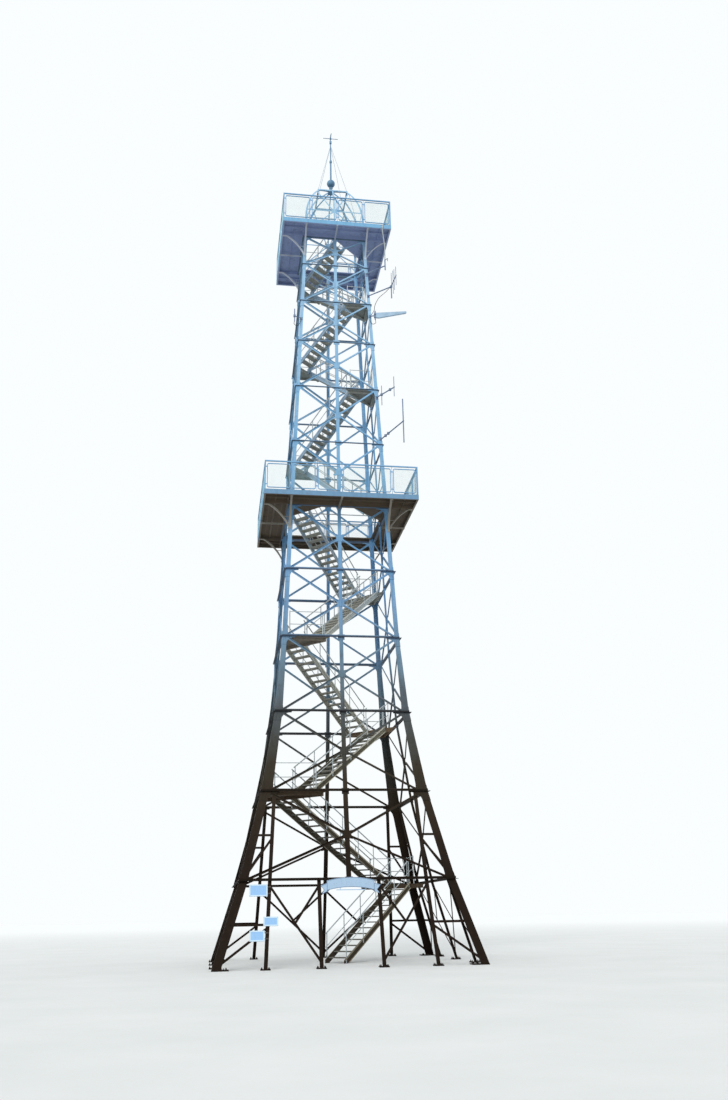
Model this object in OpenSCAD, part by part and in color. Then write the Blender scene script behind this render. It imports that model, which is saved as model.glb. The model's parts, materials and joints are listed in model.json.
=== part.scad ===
// Steel lattice fire lookout tower with two railed platforms and a stair inside the shaft.
// Origin on the ground at the middle of the four feet, front towards -Y, +Z up, millimetres.
// Side numbers: 0 front, 1 right, 2 back, 3 left. Corner numbers: 0 front left, then
// front right, back right and back left.

/* [Storey heights] */
// Ground to the belt over the entrance
entrance_storey_h = 2560; // [2350:10:3200]
// Entrance belt to the knee belt, where each corner leg splits
knee_storey_h = 2850; // [2300:10:3450]
// Knee belt to the waist belt
waist_storey_h = 2760; // [2250:10:3350]
// First shaft bay above the waist belt
shaft_bay_1_h = 2750; // [2250:10:3300]
// Second shaft bay
shaft_bay_2_h = 2590; // [2100:10:3200]
// Third shaft bay, up to the underside of the lower platform
shaft_bay_3_h = 2600; // [2100:10:3200]
// First bay above the lower platform
upper_bay_1_h = 2570; // [2100:10:3100]
// Second bay above the lower platform
upper_bay_2_h = 2490; // [2050:10:3000]
// Third bay above the lower platform
upper_bay_3_h = 2170; // [1800:10:2650]
// Fourth bay above the lower platform
upper_bay_4_h = 1980; // [1650:10:2400]
// Fifth bay above the lower platform
upper_bay_5_h = 1870; // [1550:10:2250]
// Last bay, up to the underside of the upper platform
upper_bay_6_h = 1430; // [1200:10:1750]

/* [Tower widths] */
// Width over the feet
ground_w = 8520; // [7200:10:9600]
// Width at the entrance belt
entrance_w = 6960; // [5900:10:7800]
// Width at the knee belt
knee_w = 5620; // [5000:10:6300]
// Width at the waist belt
waist_w = 4700; // [4150:10:5300]
// Width at the first belt above the waist
neck_w = 4240; // [3750:10:4800]
// Width at the top of the shaft
shaft_top_w = 2600; // [2350:10:2950]

/* [Corner legs] */
// Flange width of the raking base legs
raker_w = 270; // [220:5:320]
// Flange width of the shaft legs just above the knee belt
knee_leg_w = 370; // [290:5:400]
// Flange width of the shaft legs at the waist belt
waist_leg_w = 250; // [200:5:280]
// Flange width of the shaft legs at the first belt above the waist
neck_leg_w = 165; // [135:5:195]
// Flange width of the shaft legs at their top
top_leg_w = 120; // [100:5:145]
// Thickness of the leg flanges
leg_t = 16; // [10:1:22]

/* [Lattice] */
// Width of the middle posts
mid_post_w = 130; // [100:5:160]
// Depth of a middle post's web
mid_post_web = 60; // [40:5:75]
// Flange width of the diagonals
diagonal_w = 75; // [50:5:100]
// How far the outstanding rib of a diagonal stands out
diagonal_rib = 45; // [25:5:60]
// Thickness of the bars
bar_t = 10; // [8:1:14]
// Thickness of the gusset plates
gusset_t = 12; // [8:1:16]
// Reach of a corner gusset beyond the leg flange, under a belt
gusset_reach = 330; // [250:10:380]
// Length of a corner gusset along the leg, under a belt
gusset_drop = 330; // [250:10:400]
// Size of the gussets that stand on a belt, against those that hang under it
standing_share = 0.65; // [0.55:0.05:0.8]
// Size of the gussets at the top of the tower, against those at the knee belt
top_gusset_share = 0.75; // [0.6:0.05:0.9]
// Width of a star gusset at the knee belt
star_w = 500; // [400:10:580]
// Width of a star gusset at the top of the tower
top_star_w = 370; // [300:10:430]
// Height of a star gusset at the knee belt
star_h = 300; // [240:10:360]
// Height of a star gusset at the top of the tower
top_star_h = 350; // [280:10:400]
// Flange of the belt angles below the lower platform
belt_flange = 85; // [65:5:110]
// Flange of the belt angles above the lower platform
upper_belt_flange = 55; // [40:5:70]
// Width of the flared plate at the head of a middle post
head_plate_w = 300; // [240:10:380]
// Height of the flared plate at the head of a middle post
head_plate_h = 240; // [180:10:300]

/* [Base bracing] */
// Distance of an inner post from the face's middle, at the ground
inner_post_foot_x = 2650; // [2500:10:2800]
// Distance of an inner post from the face's middle, at the knee belt
inner_post_head_x = 2370; // [2200:10:2400]
// Distance of an entrance post from the face's middle
entrance_post_x = 960; // [850:10:1200]
// Flange width of the inner and entrance posts
base_post_w = 120; // [100:5:150]
// Depth of the base posts' webs
base_post_web = 80; // [50:5:90]
// Side of a corner leg's foot plate
foot_plate = 520; // [420:10:600]
// Side of an inner post's foot plate
small_foot_plate = 300; // [220:10:360]
// Thickness of the foot plates
foot_plate_t = 30; // [20:1:40]

/* [Platforms] */
// Side of the lower platform
lower_platform_w = 5790; // [5300:10:6600]
// Side of the upper platform
upper_platform_w = 4580; // [4100:10:5200]
// Depth of the platforms, from the boards' top to the fascia's lower edge
deck_depth = 190; // [160:10:240]
// Thickness of the deck boards
deck_board_t = 40; // [28:1:50]
// Height of the lower parapet
lower_rail_h = 1160; // [950:10:1350]
// Height of the upper parapet
upper_rail_h = 1240; // [1000:10:1450]
// Panels on each side of the lower parapet
lower_panels = 6; // [4:1:7]
// Panels on each side of the upper parapet
upper_panels = 4; // [3:1:5]
// How far below the platform its knee brackets start
bracket_drop = 890; // [760:10:1060]
// How far the lower platform reaches in behind the front lattice
lower_front_strip = 430; // [360:10:520]
// How far the upper platform reaches in behind the front lattice
upper_front_strip = 240; // [180:10:280]
// Side of the lower platform's boarded corners, at the head and the foot of the stair
lower_corner_side = 1670; // [1450:10:1800]
// Side of the upper platform's boarded corner, at the head of the stair
upper_corner_side = 1480; // [1300:10:1560]

/* [Stair] */
// Width of the stair flights below the lower platform
lower_stair_w = 820; // [700:10:860]
// Width of the stair flights above the lower platform
upper_stair_w = 640; // [560:10:660]
// Gap between two flights that pass each other
flight_gap = 90; // [70:5:120]
// Greatest rise from tread to tread
max_rise = 185; // [165:1:215]
// Depth of a tread
tread_depth = 230; // [200:5:250]
// Share of the tower's width that a landing's side takes
landing_share = 0.4; // [0.36:0.01:0.43]
// Longest side of a landing
landing_max = 2200; // [1900:10:2300]
// Height of the handrails above the pitch line
handrail_h = 900; // [800:10:1000]
// Horizontal run of the lowest flight
first_flight_run = 4070; // [3700:10:4400]

/* [Crown] */
// Height of the crown's ribs above the upper deck
crown_h = 2900; // [2450:10:3450]
// Height at which the ribs start to lean in
crown_spring_h = 800; // [650:10:950]
// Side of the square ring on top of the ribs
crown_ring_w = 1340; // [1120:10:1600]
// Width of the crown's ribs
rib_w = 80; // [60:5:95]
// Radius of the ball
ball_r = 182; // [150:2:215]
// Height of the mast's tip above the crown's ring
mast_h = 3820; // [3200:10:4500]

/* [Banner and boards] */
// Width of the entrance banner, tails included
banner_w = 1910; // [1600:10:2100]
// Height of the banner's middle part
banner_h = 300; // [250:10:360]

/* [Hidden] */

paint = [0.60, 0.70, 0.77];
worn_paint = [0.50, 0.56, 0.58];
galvanised = [0.74, 0.76, 0.78];
timber = [0.42, 0.34, 0.28];
board_white = [0.86, 0.90, 0.96];

// Heights of the belts and decks.
z_entrance = entrance_storey_h;
z_knee = z_entrance + knee_storey_h;
z_waist = z_knee + waist_storey_h;
z_shaft_1 = z_waist + shaft_bay_1_h;
z_shaft_2 = z_shaft_1 + shaft_bay_2_h;
z_lower_fascia = z_shaft_2 + shaft_bay_3_h;
z_lower_deck = z_lower_fascia + deck_depth;
z_upper_1 = z_lower_deck + upper_bay_1_h;
z_upper_2 = z_upper_1 + upper_bay_2_h;
z_upper_3 = z_upper_2 + upper_bay_3_h;
z_upper_4 = z_upper_3 + upper_bay_4_h;
z_upper_5 = z_upper_4 + upper_bay_5_h;
z_upper_fascia = z_upper_5 + upper_bay_6_h;
z_upper_deck = z_upper_fascia + deck_depth;
z_ring = z_upper_deck + crown_h;

lower_belts = [z_entrance, z_knee, z_waist, z_shaft_1, z_shaft_2];
lower_levels = concat(lower_belts, [z_lower_fascia]);
upper_belts = [z_upper_1, z_upper_2, z_upper_3, z_upper_4, z_upper_5];
upper_levels = concat([z_lower_deck], upper_belts, [z_upper_fascia]);

// Half width of the tower, to the outer face of its legs, at each bend of the legs.
profile = [
    [0, ground_w / 2],
    [z_entrance, entrance_w / 2],
    [z_knee, knee_w / 2],
    [z_waist, waist_w / 2],
    [z_shaft_1, neck_w / 2],
    [z_upper_deck, shaft_top_w / 2]
];
function half(z) = lookup(z, profile);

// Leg flange width at a height; the rakers end and the shaft legs start at the knee belt.
flange_profile = [
    [z_knee, knee_leg_w],
    [z_waist, waist_leg_w],
    [z_shaft_1, neck_leg_w],
    [z_upper_deck, top_leg_w]
];
function flange_w(z) = z < z_knee ? raker_w : lookup(z, flange_profile);

// Plane of one bay of a face: its slope length and its lean from the vertical.
function slope_len(z1, z2) = norm([half(z1) - half(z2), z2 - z1]);
function lean(z1, z2) = atan2(half(z1) - half(z2), z2 - z1);

// Small overlap that joins bars of one sub-part, and play round what passes a deck.
lap = 2;
deck_play = 5;
splice = 25;
deck_belt_rise = 60;
small_mesh = 16;
ground_cut = 400;
far = 20000;

// A bay's own plane: x across the face, y up its slope, z outwards from the leg flanges.
module face_bay(z1, z2) {
    translate([0, -half(z1), z1]) rotate([90 - lean(z1, z2), 0, 0]) children();
}

module on_side(side) {
    rotate([0, 0, 90 * side]) children();
}

function angle_section(w, t, rib) = [
    [-w / 2, 0], [w / 2, 0], [w / 2, rib], [w / 2 - t, rib], [w / 2 - t, t], [-w / 2, t]
];
function tee_section(w, t, web) = [
    [-w / 2, 0], [-w / 2, -t], [-t / 2, -t], [-t / 2, -web],
    [t / 2, -web], [t / 2, -t], [w / 2, -t], [w / 2, 0]
];

// A bar of any section in a bay's plane, from point a to point b.
module plane_bar(a, b, section, out = 0) {
    translate([a.x, a.y, out]) rotate([0, 0, atan2(b.y - a.y, b.x - a.x)]) rotate([90, 0, 90])
        linear_extrude(norm(b - a)) polygon(section);
}

function unit(v) = v / norm(v);

// A straight member between two points in space; its section's y axis leans towards up.
module member(a, b, up = [0, 0, 1]) {
    along = unit(b - a);
    high = unit(up - (up * along) * along);
    across = cross(high, along);
    multmatrix([
        [across.x, high.x, along.x, a.x],
        [across.y, high.y, along.y, a.y],
        [across.z, high.z, along.z, a.z],
        [0, 0, 0, 1]
    ]) linear_extrude(norm(b - a)) children();
}

module tube_member(a, b, d) {
    along = unit(b - a);
    side = abs(along.z) > 0.9 ? [1, 0, 0] : [0, 0, 1];
    high = unit(side - (side * along) * along);
    across = cross(high, along);
    multmatrix([
        [across.x, high.x, along.x, a.x],
        [across.y, high.y, along.y, a.y],
        [across.z, high.z, along.z, a.z],
        [0, 0, 0, 1]
    ]) cylinder(d = d, h = norm(b - a), $fn = small_mesh);
}

// Corner legs

// One flange of a corner leg in a bay, as a tapering plate in the face's plane. It can run on
// above its bay.
module leg_flange(z1, z2, w1, w2, above) {
    up = slope_len(z1, z2) + above;
    face_bay(z1, z2) translate([0, 0, -leg_t]) linear_extrude(leg_t) polygon([
        [-half(z1), 0], [-half(z1) + w1, 0], [-half(z2) + w2, up], [-half(z2), up]
    ]);
}

module leg_angle(z1, z2, w1, w2, above = 0) {
    leg_flange(z1, z2, w1, w2, above);
    mirror([1, -1, 0]) leg_flange(z1, z2, w1, w2, above);
}

module shaft_leg(corner) {
    color(paint) on_side(corner) {
        leg_angle(z_knee, z_waist, knee_leg_w, waist_leg_w, lap);
        leg_angle(z_waist, z_shaft_1, waist_leg_w, neck_leg_w, lap);
        leg_angle(z_shaft_1, z_upper_deck, neck_leg_w, top_leg_w);
    }
}

module raker(corner) {
    h = half(0);
    color(worn_paint) on_side(corner) {
        difference() {
            union() {
                leg_angle(0, z_entrance, raker_w, raker_w, lap);
                leg_angle(z_entrance, z_knee, raker_w, raker_w);
            }
            translate([-far / 2, -far / 2, -ground_cut]) cube([far, far, ground_cut + lap]);
        }
        translate([-h, -h, 0]) cube([foot_plate, foot_plate, foot_plate_t]);
    }
}

// Face lattice

// Size of the gussets at a height, against those at the knee belt.
function gusset_size(z) = lookup(z, [[z_knee, 1], [z_upper_deck, top_gusset_share]]);
function gusset_share(z, upward) = gusset_size(z) * (upward ? standing_share : 1);
gusset_edge = 40;
// Where on its gusset a diagonal starts, as a share of the gusset's size.
gusset_seat = 0.16;

// Gusset in the corner between a belt and the left leg, with a hollow curve for its free edge.
module corner_gusset(z1, z2, upward) {
    up = slope_len(z1, z2);
    level = upward ? z1 : z2;
    inside = upward ? z1 + 1 : z2 - 1;
    away = upward ? 1 : -1;
    y0 = upward ? 0 : up;
    h = gusset_drop * gusset_share(level, upward);
    reach = gusset_reach * gusset_share(level, upward);
    outer = -half(level);
    drift = (half(z1) - half(z2)) * h / up * away;
    inner = outer + flange_w(inside);
    linear_extrude(gusset_t) polygon([
        [outer + lap, y0], [inner + reach, y0],
        for (t = [0 : 0.2 : 1])
            [
                inner + drift * t * t + reach * pow(1 - t, 2),
                y0 + away * (gusset_edge + (h - gusset_edge) * t * t)
            ],
        [outer + drift + lap, y0 + away * h]
    ]);
}

function star_width(z) = lookup(z, [[z_knee, star_w], [z_upper_deck, top_star_w]]);
function star_height(z) = lookup(z, [[z_knee, star_h], [z_upper_deck, top_star_h]]);

// Plate where the diagonals of a bay meet; its sides are hollow curves between four horns.
module star_gusset(x, y, w, h) {
    translate([x, y, 0]) linear_extrude(gusset_t) polygon([
        for (t = [-1 : 0.5 : 1]) [w * (0.27 + 0.23 * t * t), h * 0.36 * t],
        [w * 0.34, h * 0.5], [w * 0.16, h * 0.43], [-w * 0.16, h * 0.43], [-w * 0.34, h * 0.5],
        for (t = [1 : -0.5 : -1]) [-w * (0.27 + 0.23 * t * t), h * 0.36 * t],
        [-w * 0.34, -h * 0.5], [-w * 0.16, -h * 0.43], [w * 0.16, -h * 0.43], [w * 0.34, -h * 0.5]
    ]);
}

// Diagonals of one bay from the four corner gussets to the star gusset.
// keep lists the quarters that have one: [side, top or bottom], each -1 or 1.
module bay_bracing(z1, z2, keep = [[-1, -1], [1, -1], [-1, 1], [1, 1]]) {
    up = slope_len(z1, z2);
    middle = (z1 + z2) / 2;
    section = angle_section(diagonal_w, bar_t, diagonal_rib);
    low_share = gusset_share(z1, true) * gusset_seat;
    high_share = gusset_share(z2, false) * gusset_seat;
    x_low = half(z1) - flange_w(z1 + 1) - gusset_reach * low_share;
    x_high = half(z2) - flange_w(z2 - 1) - gusset_reach * high_share;
    y_low = gusset_edge + gusset_drop * low_share;
    y_high = up - gusset_edge - gusset_drop * high_share;
    face_bay(z1, z2) {
        star_gusset(0, up / 2, star_width(middle), star_height(middle));
        for (q = keep) {
            mirror([q.x > 0 ? 1 : 0, 0, 0]) corner_gusset(z1, z2, q.y < 0);
            plane_bar(
                [q.x * (q.y < 0 ? x_low : x_high), q.y < 0 ? y_low : y_high],
                [q.x * star_width(middle) * 0.25, up / 2 + q.y * star_height(middle) * 0.22],
                section
            );
        }
    }
}

// Rectangular plate where the middle post crosses a belt; the half below the belt is narrower.
module belt_plate(z1, z2, upward) {
    plate_w = mid_post_w * 2 - (upward ? 0 : 20);
    plate_h = mid_post_w * 0.8;
    face_bay(z1, z2) translate([-plate_w / 2, upward ? 0 : slope_len(z1, z2) - plate_h, 0])
        cube([plate_w, plate_h, gusset_t]);
}

// Flared plate at the head of a middle post, under a platform.
module head_plate(z1, z2) {
    up = slope_len(z1, z2);
    flare = (head_plate_w - mid_post_w) / 2;
    outline = [
        for (t = [0 : 0.25 : 1]) [mid_post_w / 2 - lap + flare * pow(1 - t, 2), up - head_plate_h * t]
    ];
    face_bay(z1, z2) linear_extrude(gusset_t) polygon(concat(
        outline, [for (i = [len(outline) - 1 : -1 : 0]) [-outline[i].x, outline[i].y]]
    ));
}

// Middle post of one stretch. It runs on below and above into its neighbours where the face bends,
// and a lower stretch has a heavier section.
module mid_post(z1, z2, below, above, heavier) {
    face_bay(z1, z2) plane_bar(
        [0, -below], [0, slope_len(z1, z2) + above],
        tee_section(mid_post_w + 10 * heavier, bar_t + 2 * heavier, mid_post_web + 5 * heavier), lap
    );
}

// Horizontal belt angle of one face, mitred to its neighbours at 45 degrees.
module belt_leg(z, h, reach) {
    translate([0, 0, z]) linear_extrude(h)
        polygon([
            [-half(z), -half(z)], [half(z), -half(z)],
            [half(z) + reach, -half(z) - reach], [-half(z) - reach, -half(z) - reach]
        ]);
}

module belt(z, flange) {
    belt_leg(z, bar_t, flange);
    belt_leg(z, flange, gusset_t + lap);
}

// The belt under a platform: its flat flange carries the joists, its other flange stands up
// behind them.
module deck_belt(z) {
    bottom = z - bar_t;
    reach = half(bottom);
    out = reach + gusset_t + lap;
    tip = reach + belt_flange;
    translate([0, 0, bottom]) linear_extrude(bar_t + deck_belt_rise)
        polygon([[-reach, -reach], [reach, -reach], [out, -out], [-out, -out]]);
    translate([0, 0, bottom]) linear_extrude(bar_t)
        polygon([[-reach, -reach], [reach, -reach], [tip, -tip], [-tip, -tip]]);
}

module lower_lattice(side) {
    last = len(lower_levels) - 1;
    color(paint) on_side(side) {
        for (i = [0 : last - 1]) {
            bay_bracing(lower_levels[i], lower_levels[i + 1]);
            belt_plate(lower_levels[i], lower_levels[i + 1], true);
            if (i < last - 1) belt_plate(lower_levels[i], lower_levels[i + 1], false);
            else head_plate(lower_levels[i], lower_levels[i + 1]);
        }
        for (z = lower_belts) belt(z, belt_flange);
        deck_belt(z_lower_fascia);
        mid_post(z_entrance, z_knee, 0, splice, 3);
        mid_post(z_knee, z_waist, splice, splice, 2);
        mid_post(z_waist, z_shaft_1, splice, splice, 1);
        mid_post(z_shaft_1, z_lower_deck, splice, 0, 0);
    }
}

module upper_lattice(side) {
    last = len(upper_levels) - 1;
    doorway = [[-1, 1], [1, 1]];
    color(paint) on_side(side) {
        for (i = [0 : last - 1]) {
            if (i == 0 && side == 0) bay_bracing(upper_levels[0], upper_levels[1], doorway);
            else bay_bracing(upper_levels[i], upper_levels[i + 1]);
            if (i > 0) belt_plate(upper_levels[i], upper_levels[i + 1], true);
            if (i < last - 1) belt_plate(upper_levels[i], upper_levels[i + 1], false);
            else head_plate(upper_levels[i], upper_levels[i + 1]);
        }
        for (z = upper_belts) belt(z, upper_belt_flange);
        deck_belt(z_upper_fascia);
        mid_post(z_lower_deck, z_upper_deck, 0, 0, 0);
    }
}

// Base frames

base_tee = tee_section(base_post_w, leg_t + lap, base_post_web);
base_bar = [[-diagonal_w / 2, -bar_t], [diagonal_w / 2, -bar_t], [diagonal_w / 2, 0], [-diagonal_w / 2, 0]];

// The inner post's distance from the face's middle at a height.
function inner_post_x(z) = lookup(z, [[0, inner_post_foot_x], [z_knee, inner_post_head_x]]);

// Right half of one face's base: inner post, struts and small diagonals up to the raker.
module base_half(centre_post_x) {
    low = slope_len(0, z_entrance);
    high = slope_len(z_entrance, z_knee);
    x_foot = inner_post_x(0);
    x_belt = inner_post_x(z_entrance);
    x_head = inner_post_x(z_knee);
    raker_mid_low = (half(0) + half(z_entrance)) / 2 - raker_w / 2;
    raker_mid_high = (half(z_entrance) + half(z_knee)) / 2 - raker_w / 2;
    raker_belt = half(z_entrance) - raker_w / 2;
    raker_foot = half(0) - raker_w / 2;
    back = -leg_t;
    difference() {
        union() {
            face_bay(0, z_entrance) {
                plane_bar([x_foot, -foot_plate_t], [x_belt, low + lap], base_tee);
                plane_bar([raker_mid_low, low / 2], [(x_foot + x_belt) / 2, low / 2], base_bar, back);
                plane_bar([raker_foot - 60, 150], [(x_foot + x_belt) / 2, low / 2 - 90], base_bar, back);
                plane_bar([x_belt, low - 150], [centre_post_x, 200], base_bar, back);
                plane_bar([centre_post_x, low - 150],
                    [(x_belt + centre_post_x) / 2, low / 2 + 25], base_bar, back);
            }
            face_bay(z_entrance, z_knee) {
                plane_bar([x_belt, 0], [x_head, high - lap], base_tee);
                plane_bar([raker_mid_high, high / 2], [(x_belt + x_head) / 2, high / 2], base_bar, back);
                plane_bar([raker_belt - 40, 130], [(x_belt + x_head) / 2, high / 2 - 90], base_bar, back);
            }
        }
        translate([-far / 2, -far / 2, -ground_cut]) cube([far, far, ground_cut + lap]);
    }
    translate([x_foot - small_foot_plate / 2, -half(0) - small_foot_plate / 4, 0])
        cube([small_foot_plate, small_foot_plate, foot_plate_t]);
}

// A post in the bottom bay, at the entrance's side or in the middle of a closed face.
module bottom_post(x) {
    low = slope_len(0, z_entrance);
    difference() {
        face_bay(0, z_entrance) plane_bar([x, -foot_plate_t], [x, low], base_tee);
        translate([-far / 2, -far / 2, -ground_cut]) cube([far, far, ground_cut + lap]);
    }
    translate([x - small_foot_plate / 2, -half(0) - small_foot_plate / 4, 0])
        cube([small_foot_plate, small_foot_plate, foot_plate_t]);
}

module front_base(right) {
    color(worn_paint) mirror([right ? 0 : 1, 0, 0]) {
        base_half(entrance_post_x);
        bottom_post(entrance_post_x);
    }
}

module closed_base(side) {
    color(worn_paint) on_side(side) {
        for (m = [0, 1]) mirror([m, 0, 0]) base_half(0);
        bottom_post(0);
    }
}

// Platforms

// Side of a landing, or of a platform's boarded corner, at a height.
function landing_side(z) = z == z_lower_deck ? lower_corner_side
    : z == z_upper_deck ? upper_corner_side
    : min(landing_share * 2 * half(z), landing_max);
hole_margin = 30;
// Cut across the front left corner of the upper deck's opening.
hole_chamfer = 210;
// Widest front strip of the upper deck that leaves room for the last flight's outer corner.
function strip_limit() = half(z_upper_deck) - deck_play
    - (landing_edge(z_upper_deck) + side_offset(len(flights) - 1) + upper_stair_w / 2) / sqrt(2);

// Cuts for the four legs and the four middle posts through a deck at height z.
module shaft_cuts(z, depth) {
    h = half(z) + deck_play;
    w = flange_w(z) + 2 * deck_play;
    t = leg_t + 2 * deck_play + (half(z - depth) - half(z));
    for (side = [0 : 3]) on_side(side) {
        for (m = [0, 1]) mirror([m, 0, 0]) translate([-h - deck_play, -h - deck_play])
            square([w + deck_play, t + deck_play]);
        translate([-mid_post_w / 2 - deck_play, -h - deck_play])
            square([mid_post_w + 2 * deck_play, mid_post_web + 3 * deck_play]);
    }
}

// The deck in plan: boards round the shaft and boarded corners at the head and foot of the stair.
module deck_plan(z, side_w, strip, left_corner) {
    s = half(z) - mid_post_web - hole_margin;
    front = half(z) - strip;
    slant = 2 * half(z) - landing_side(z);
    left_edge = left_corner ? [[front - slant, -front], [-s, s - slant]]
        : [[hole_chamfer - s, -front], [-s, hole_chamfer - front]];
    difference() {
        square(side_w - 2 * bar_t, center = true);
        polygon(concat([[-s, s], [s, s], [s, s - slant], [slant - front, -front]], left_edge));
        shaft_cuts(z, deck_board_t);
    }
}

fascia_flange = 70;
joist_flange = 60;

// Joist from fascia to fascia, parallel to the front, at a distance from the middle.
module joist(distance, side_w, low, h) {
    top = low + h;
    translate([lap - side_w / 2, -distance - bar_t / 2, low]) cube([side_w - 2 * lap, bar_t, h]);
    translate([lap - side_w / 2, -distance - joist_flange / 2, top - bar_t])
        cube([side_w - 2 * lap, joist_flange, bar_t]);
}

module deck(z, side_w, strip, left_corner) {
    low = z - deck_depth;
    web = deck_depth - deck_board_t;
    edge = side_w / 2;
    beam = half(low - bar_t) + belt_flange / 2 + joist_flange / 2;
    color(timber) translate([0, 0, z - deck_board_t]) linear_extrude(deck_board_t)
        deck_plan(z, side_w, strip, left_corner);
    color(paint) for (side = [0 : 3]) on_side(side) {
        // Channel fascia
        translate([0, 0, low]) linear_extrude(deck_depth) polygon([
            [-edge, -edge], [edge, -edge], [edge - bar_t, bar_t - edge], [bar_t - edge, bar_t - edge]
        ]);
        translate([0, 0, low]) linear_extrude(bar_t) polygon([
            [-edge, -edge], [edge, -edge],
            [edge - fascia_flange, fascia_flange - edge], [fascia_flange - edge, fascia_flange - edge]
        ]);
        joist(beam, side_w, low, web);
        joist((beam + edge) / 2, side_w, low + web * 0.4, web * 0.6);
    }
}

// An arched bar in the plane x = 0, from point a to point b, both given as [y, z].
module arched_bar(a, b, sweep, section) {
    chord = b - a;
    r = norm(chord) / 2 / sin(sweep / 2);
    start = atan2(chord.y, chord.x) - 90 - sweep / 2;
    centre = a - r * [cos(start), sin(start)];
    translate([0, centre.x, centre.y]) rotate([90, 0, 90]) rotate([0, 0, start])
        rotate_extrude(angle = sweep, $fn = 96) polygon([for (p = section) [r + p.y, p.x]]);
}

bracket_sweep = 36;
bracket_plate_h = 180;
bracket_tie_h = 70;
// Where the tie meets the bracket, as a share of the bracket's height.
tie_share = 0.46;

// Arched knee bracket on the leg at x, with a foot plate, a head plate and a tie to the leg.
module knee_bracket(x, z, side_w, w) {
    low = z - deck_depth;
    z_foot = low - bracket_drop;
    z_tie = z_foot + bracket_drop * tie_share;
    y_foot = -half(z_foot);
    y_head = -side_w / 2 + 130;
    y_tie = y_foot + (y_head - y_foot) * tie_share * 0.7;
    section = angle_section(w, bar_t, w * 0.7);
    difference() {
        union() {
            translate([x, 0, 0])
                arched_bar([y_foot + 6, z_foot - 20], [y_head, low + 30], bracket_sweep, section);
            translate([x - w / 2 - 10, y_head - 90, low - bar_t]) cube([w + 20, 150, bar_t]);
            translate([x - w / 4, y_tie, z_tie]) cube([w / 2, -y_tie, bar_t]);
        }
        translate([-far / 2, -far / 2, low]) cube([far, far, deck_depth]);
        on_side(0) face_bay(z_foot - bracket_plate_h, low) translate([-far / 2, 0, -far])
            cube([far, bracket_drop + 2 * bracket_plate_h, far + lap]);
    }
    face_bay(z_foot - bracket_plate_h / 2, z_foot + bracket_plate_h / 2) translate([x - w / 2 - 5, 0, 0])
        cube([w + 10, bracket_plate_h, bar_t]);
    face_bay(z_tie - bracket_tie_h / 2, z_tie + bracket_tie_h / 2) translate([x - w / 4 - 5, 0, 0])
        cube([w / 2 + 10, bracket_tie_h, bar_t]);
}

// Flat beam under a platform, from a middle post's head plate out to the fascia.
module cantilever(z, side_w, w) {
    low = z - deck_depth;
    top = low - bar_t;
    h = w * 0.75;
    root = half(top - h) + gusset_t;
    difference() {
        union() {
            translate([-w / 2, -side_w / 2 + bar_t, top - bar_t]) cube([w, side_w / 2, bar_t]);
            translate([-bar_t / 2, -side_w / 2 + bar_t, top - h]) cube([bar_t, side_w / 2, h]);
            translate([-w / 2, -side_w / 2 + bar_t, top - lap]) cube([w, fascia_flange, bar_t + lap]);
        }
        face_bay(top - 2 * h, top) translate([-far / 2, -h, -far]) cube([far, 5 * h, far + gusset_t + lap]);
    }
    face_bay(top - h - 20, top) translate([-w / 2 - 5, 0, gusset_t]) cube([w + 10, h + 15, bar_t]);
}

bracket_inset = 12;

module brackets(z, side_w, w) {
    x = half(z - deck_depth - bracket_drop) - w / 2 - bracket_inset;
    color(paint) for (side = [0 : 3]) on_side(side) {
        knee_bracket(x, z, side_w, w);
        knee_bracket(-x, z, side_w, w);
        cantilever(z, side_w, w);
    }
}

// Outline of a rectangle with round corners, centred.
function round_rect(w, h, r) = [
    for (c = [[1, 1, 0], [-1, 1, 90], [-1, -1, 180], [1, -1, 270]])
        for (a = [0 : 30 : 90])
            [c.x * (w / 2 - r) + r * cos(c[2] + a), c.y * (h / 2 - r) + r * sin(c[2] + a)]
];

rail_tube = 44;
panel_tube = 30;
panel_post = 14;
panel_gap = 34;
panel_corner_r = 70;

module panel_frame(w, h) {
    translate([0, panel_tube / 2, 0]) rotate([90, 0, 0]) linear_extrude(panel_tube) difference() {
        polygon(round_rect(w, h, panel_corner_r));
        polygon(round_rect(w - 2 * panel_tube, h - 2 * panel_tube, panel_corner_r - panel_tube));
    }
}

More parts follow.
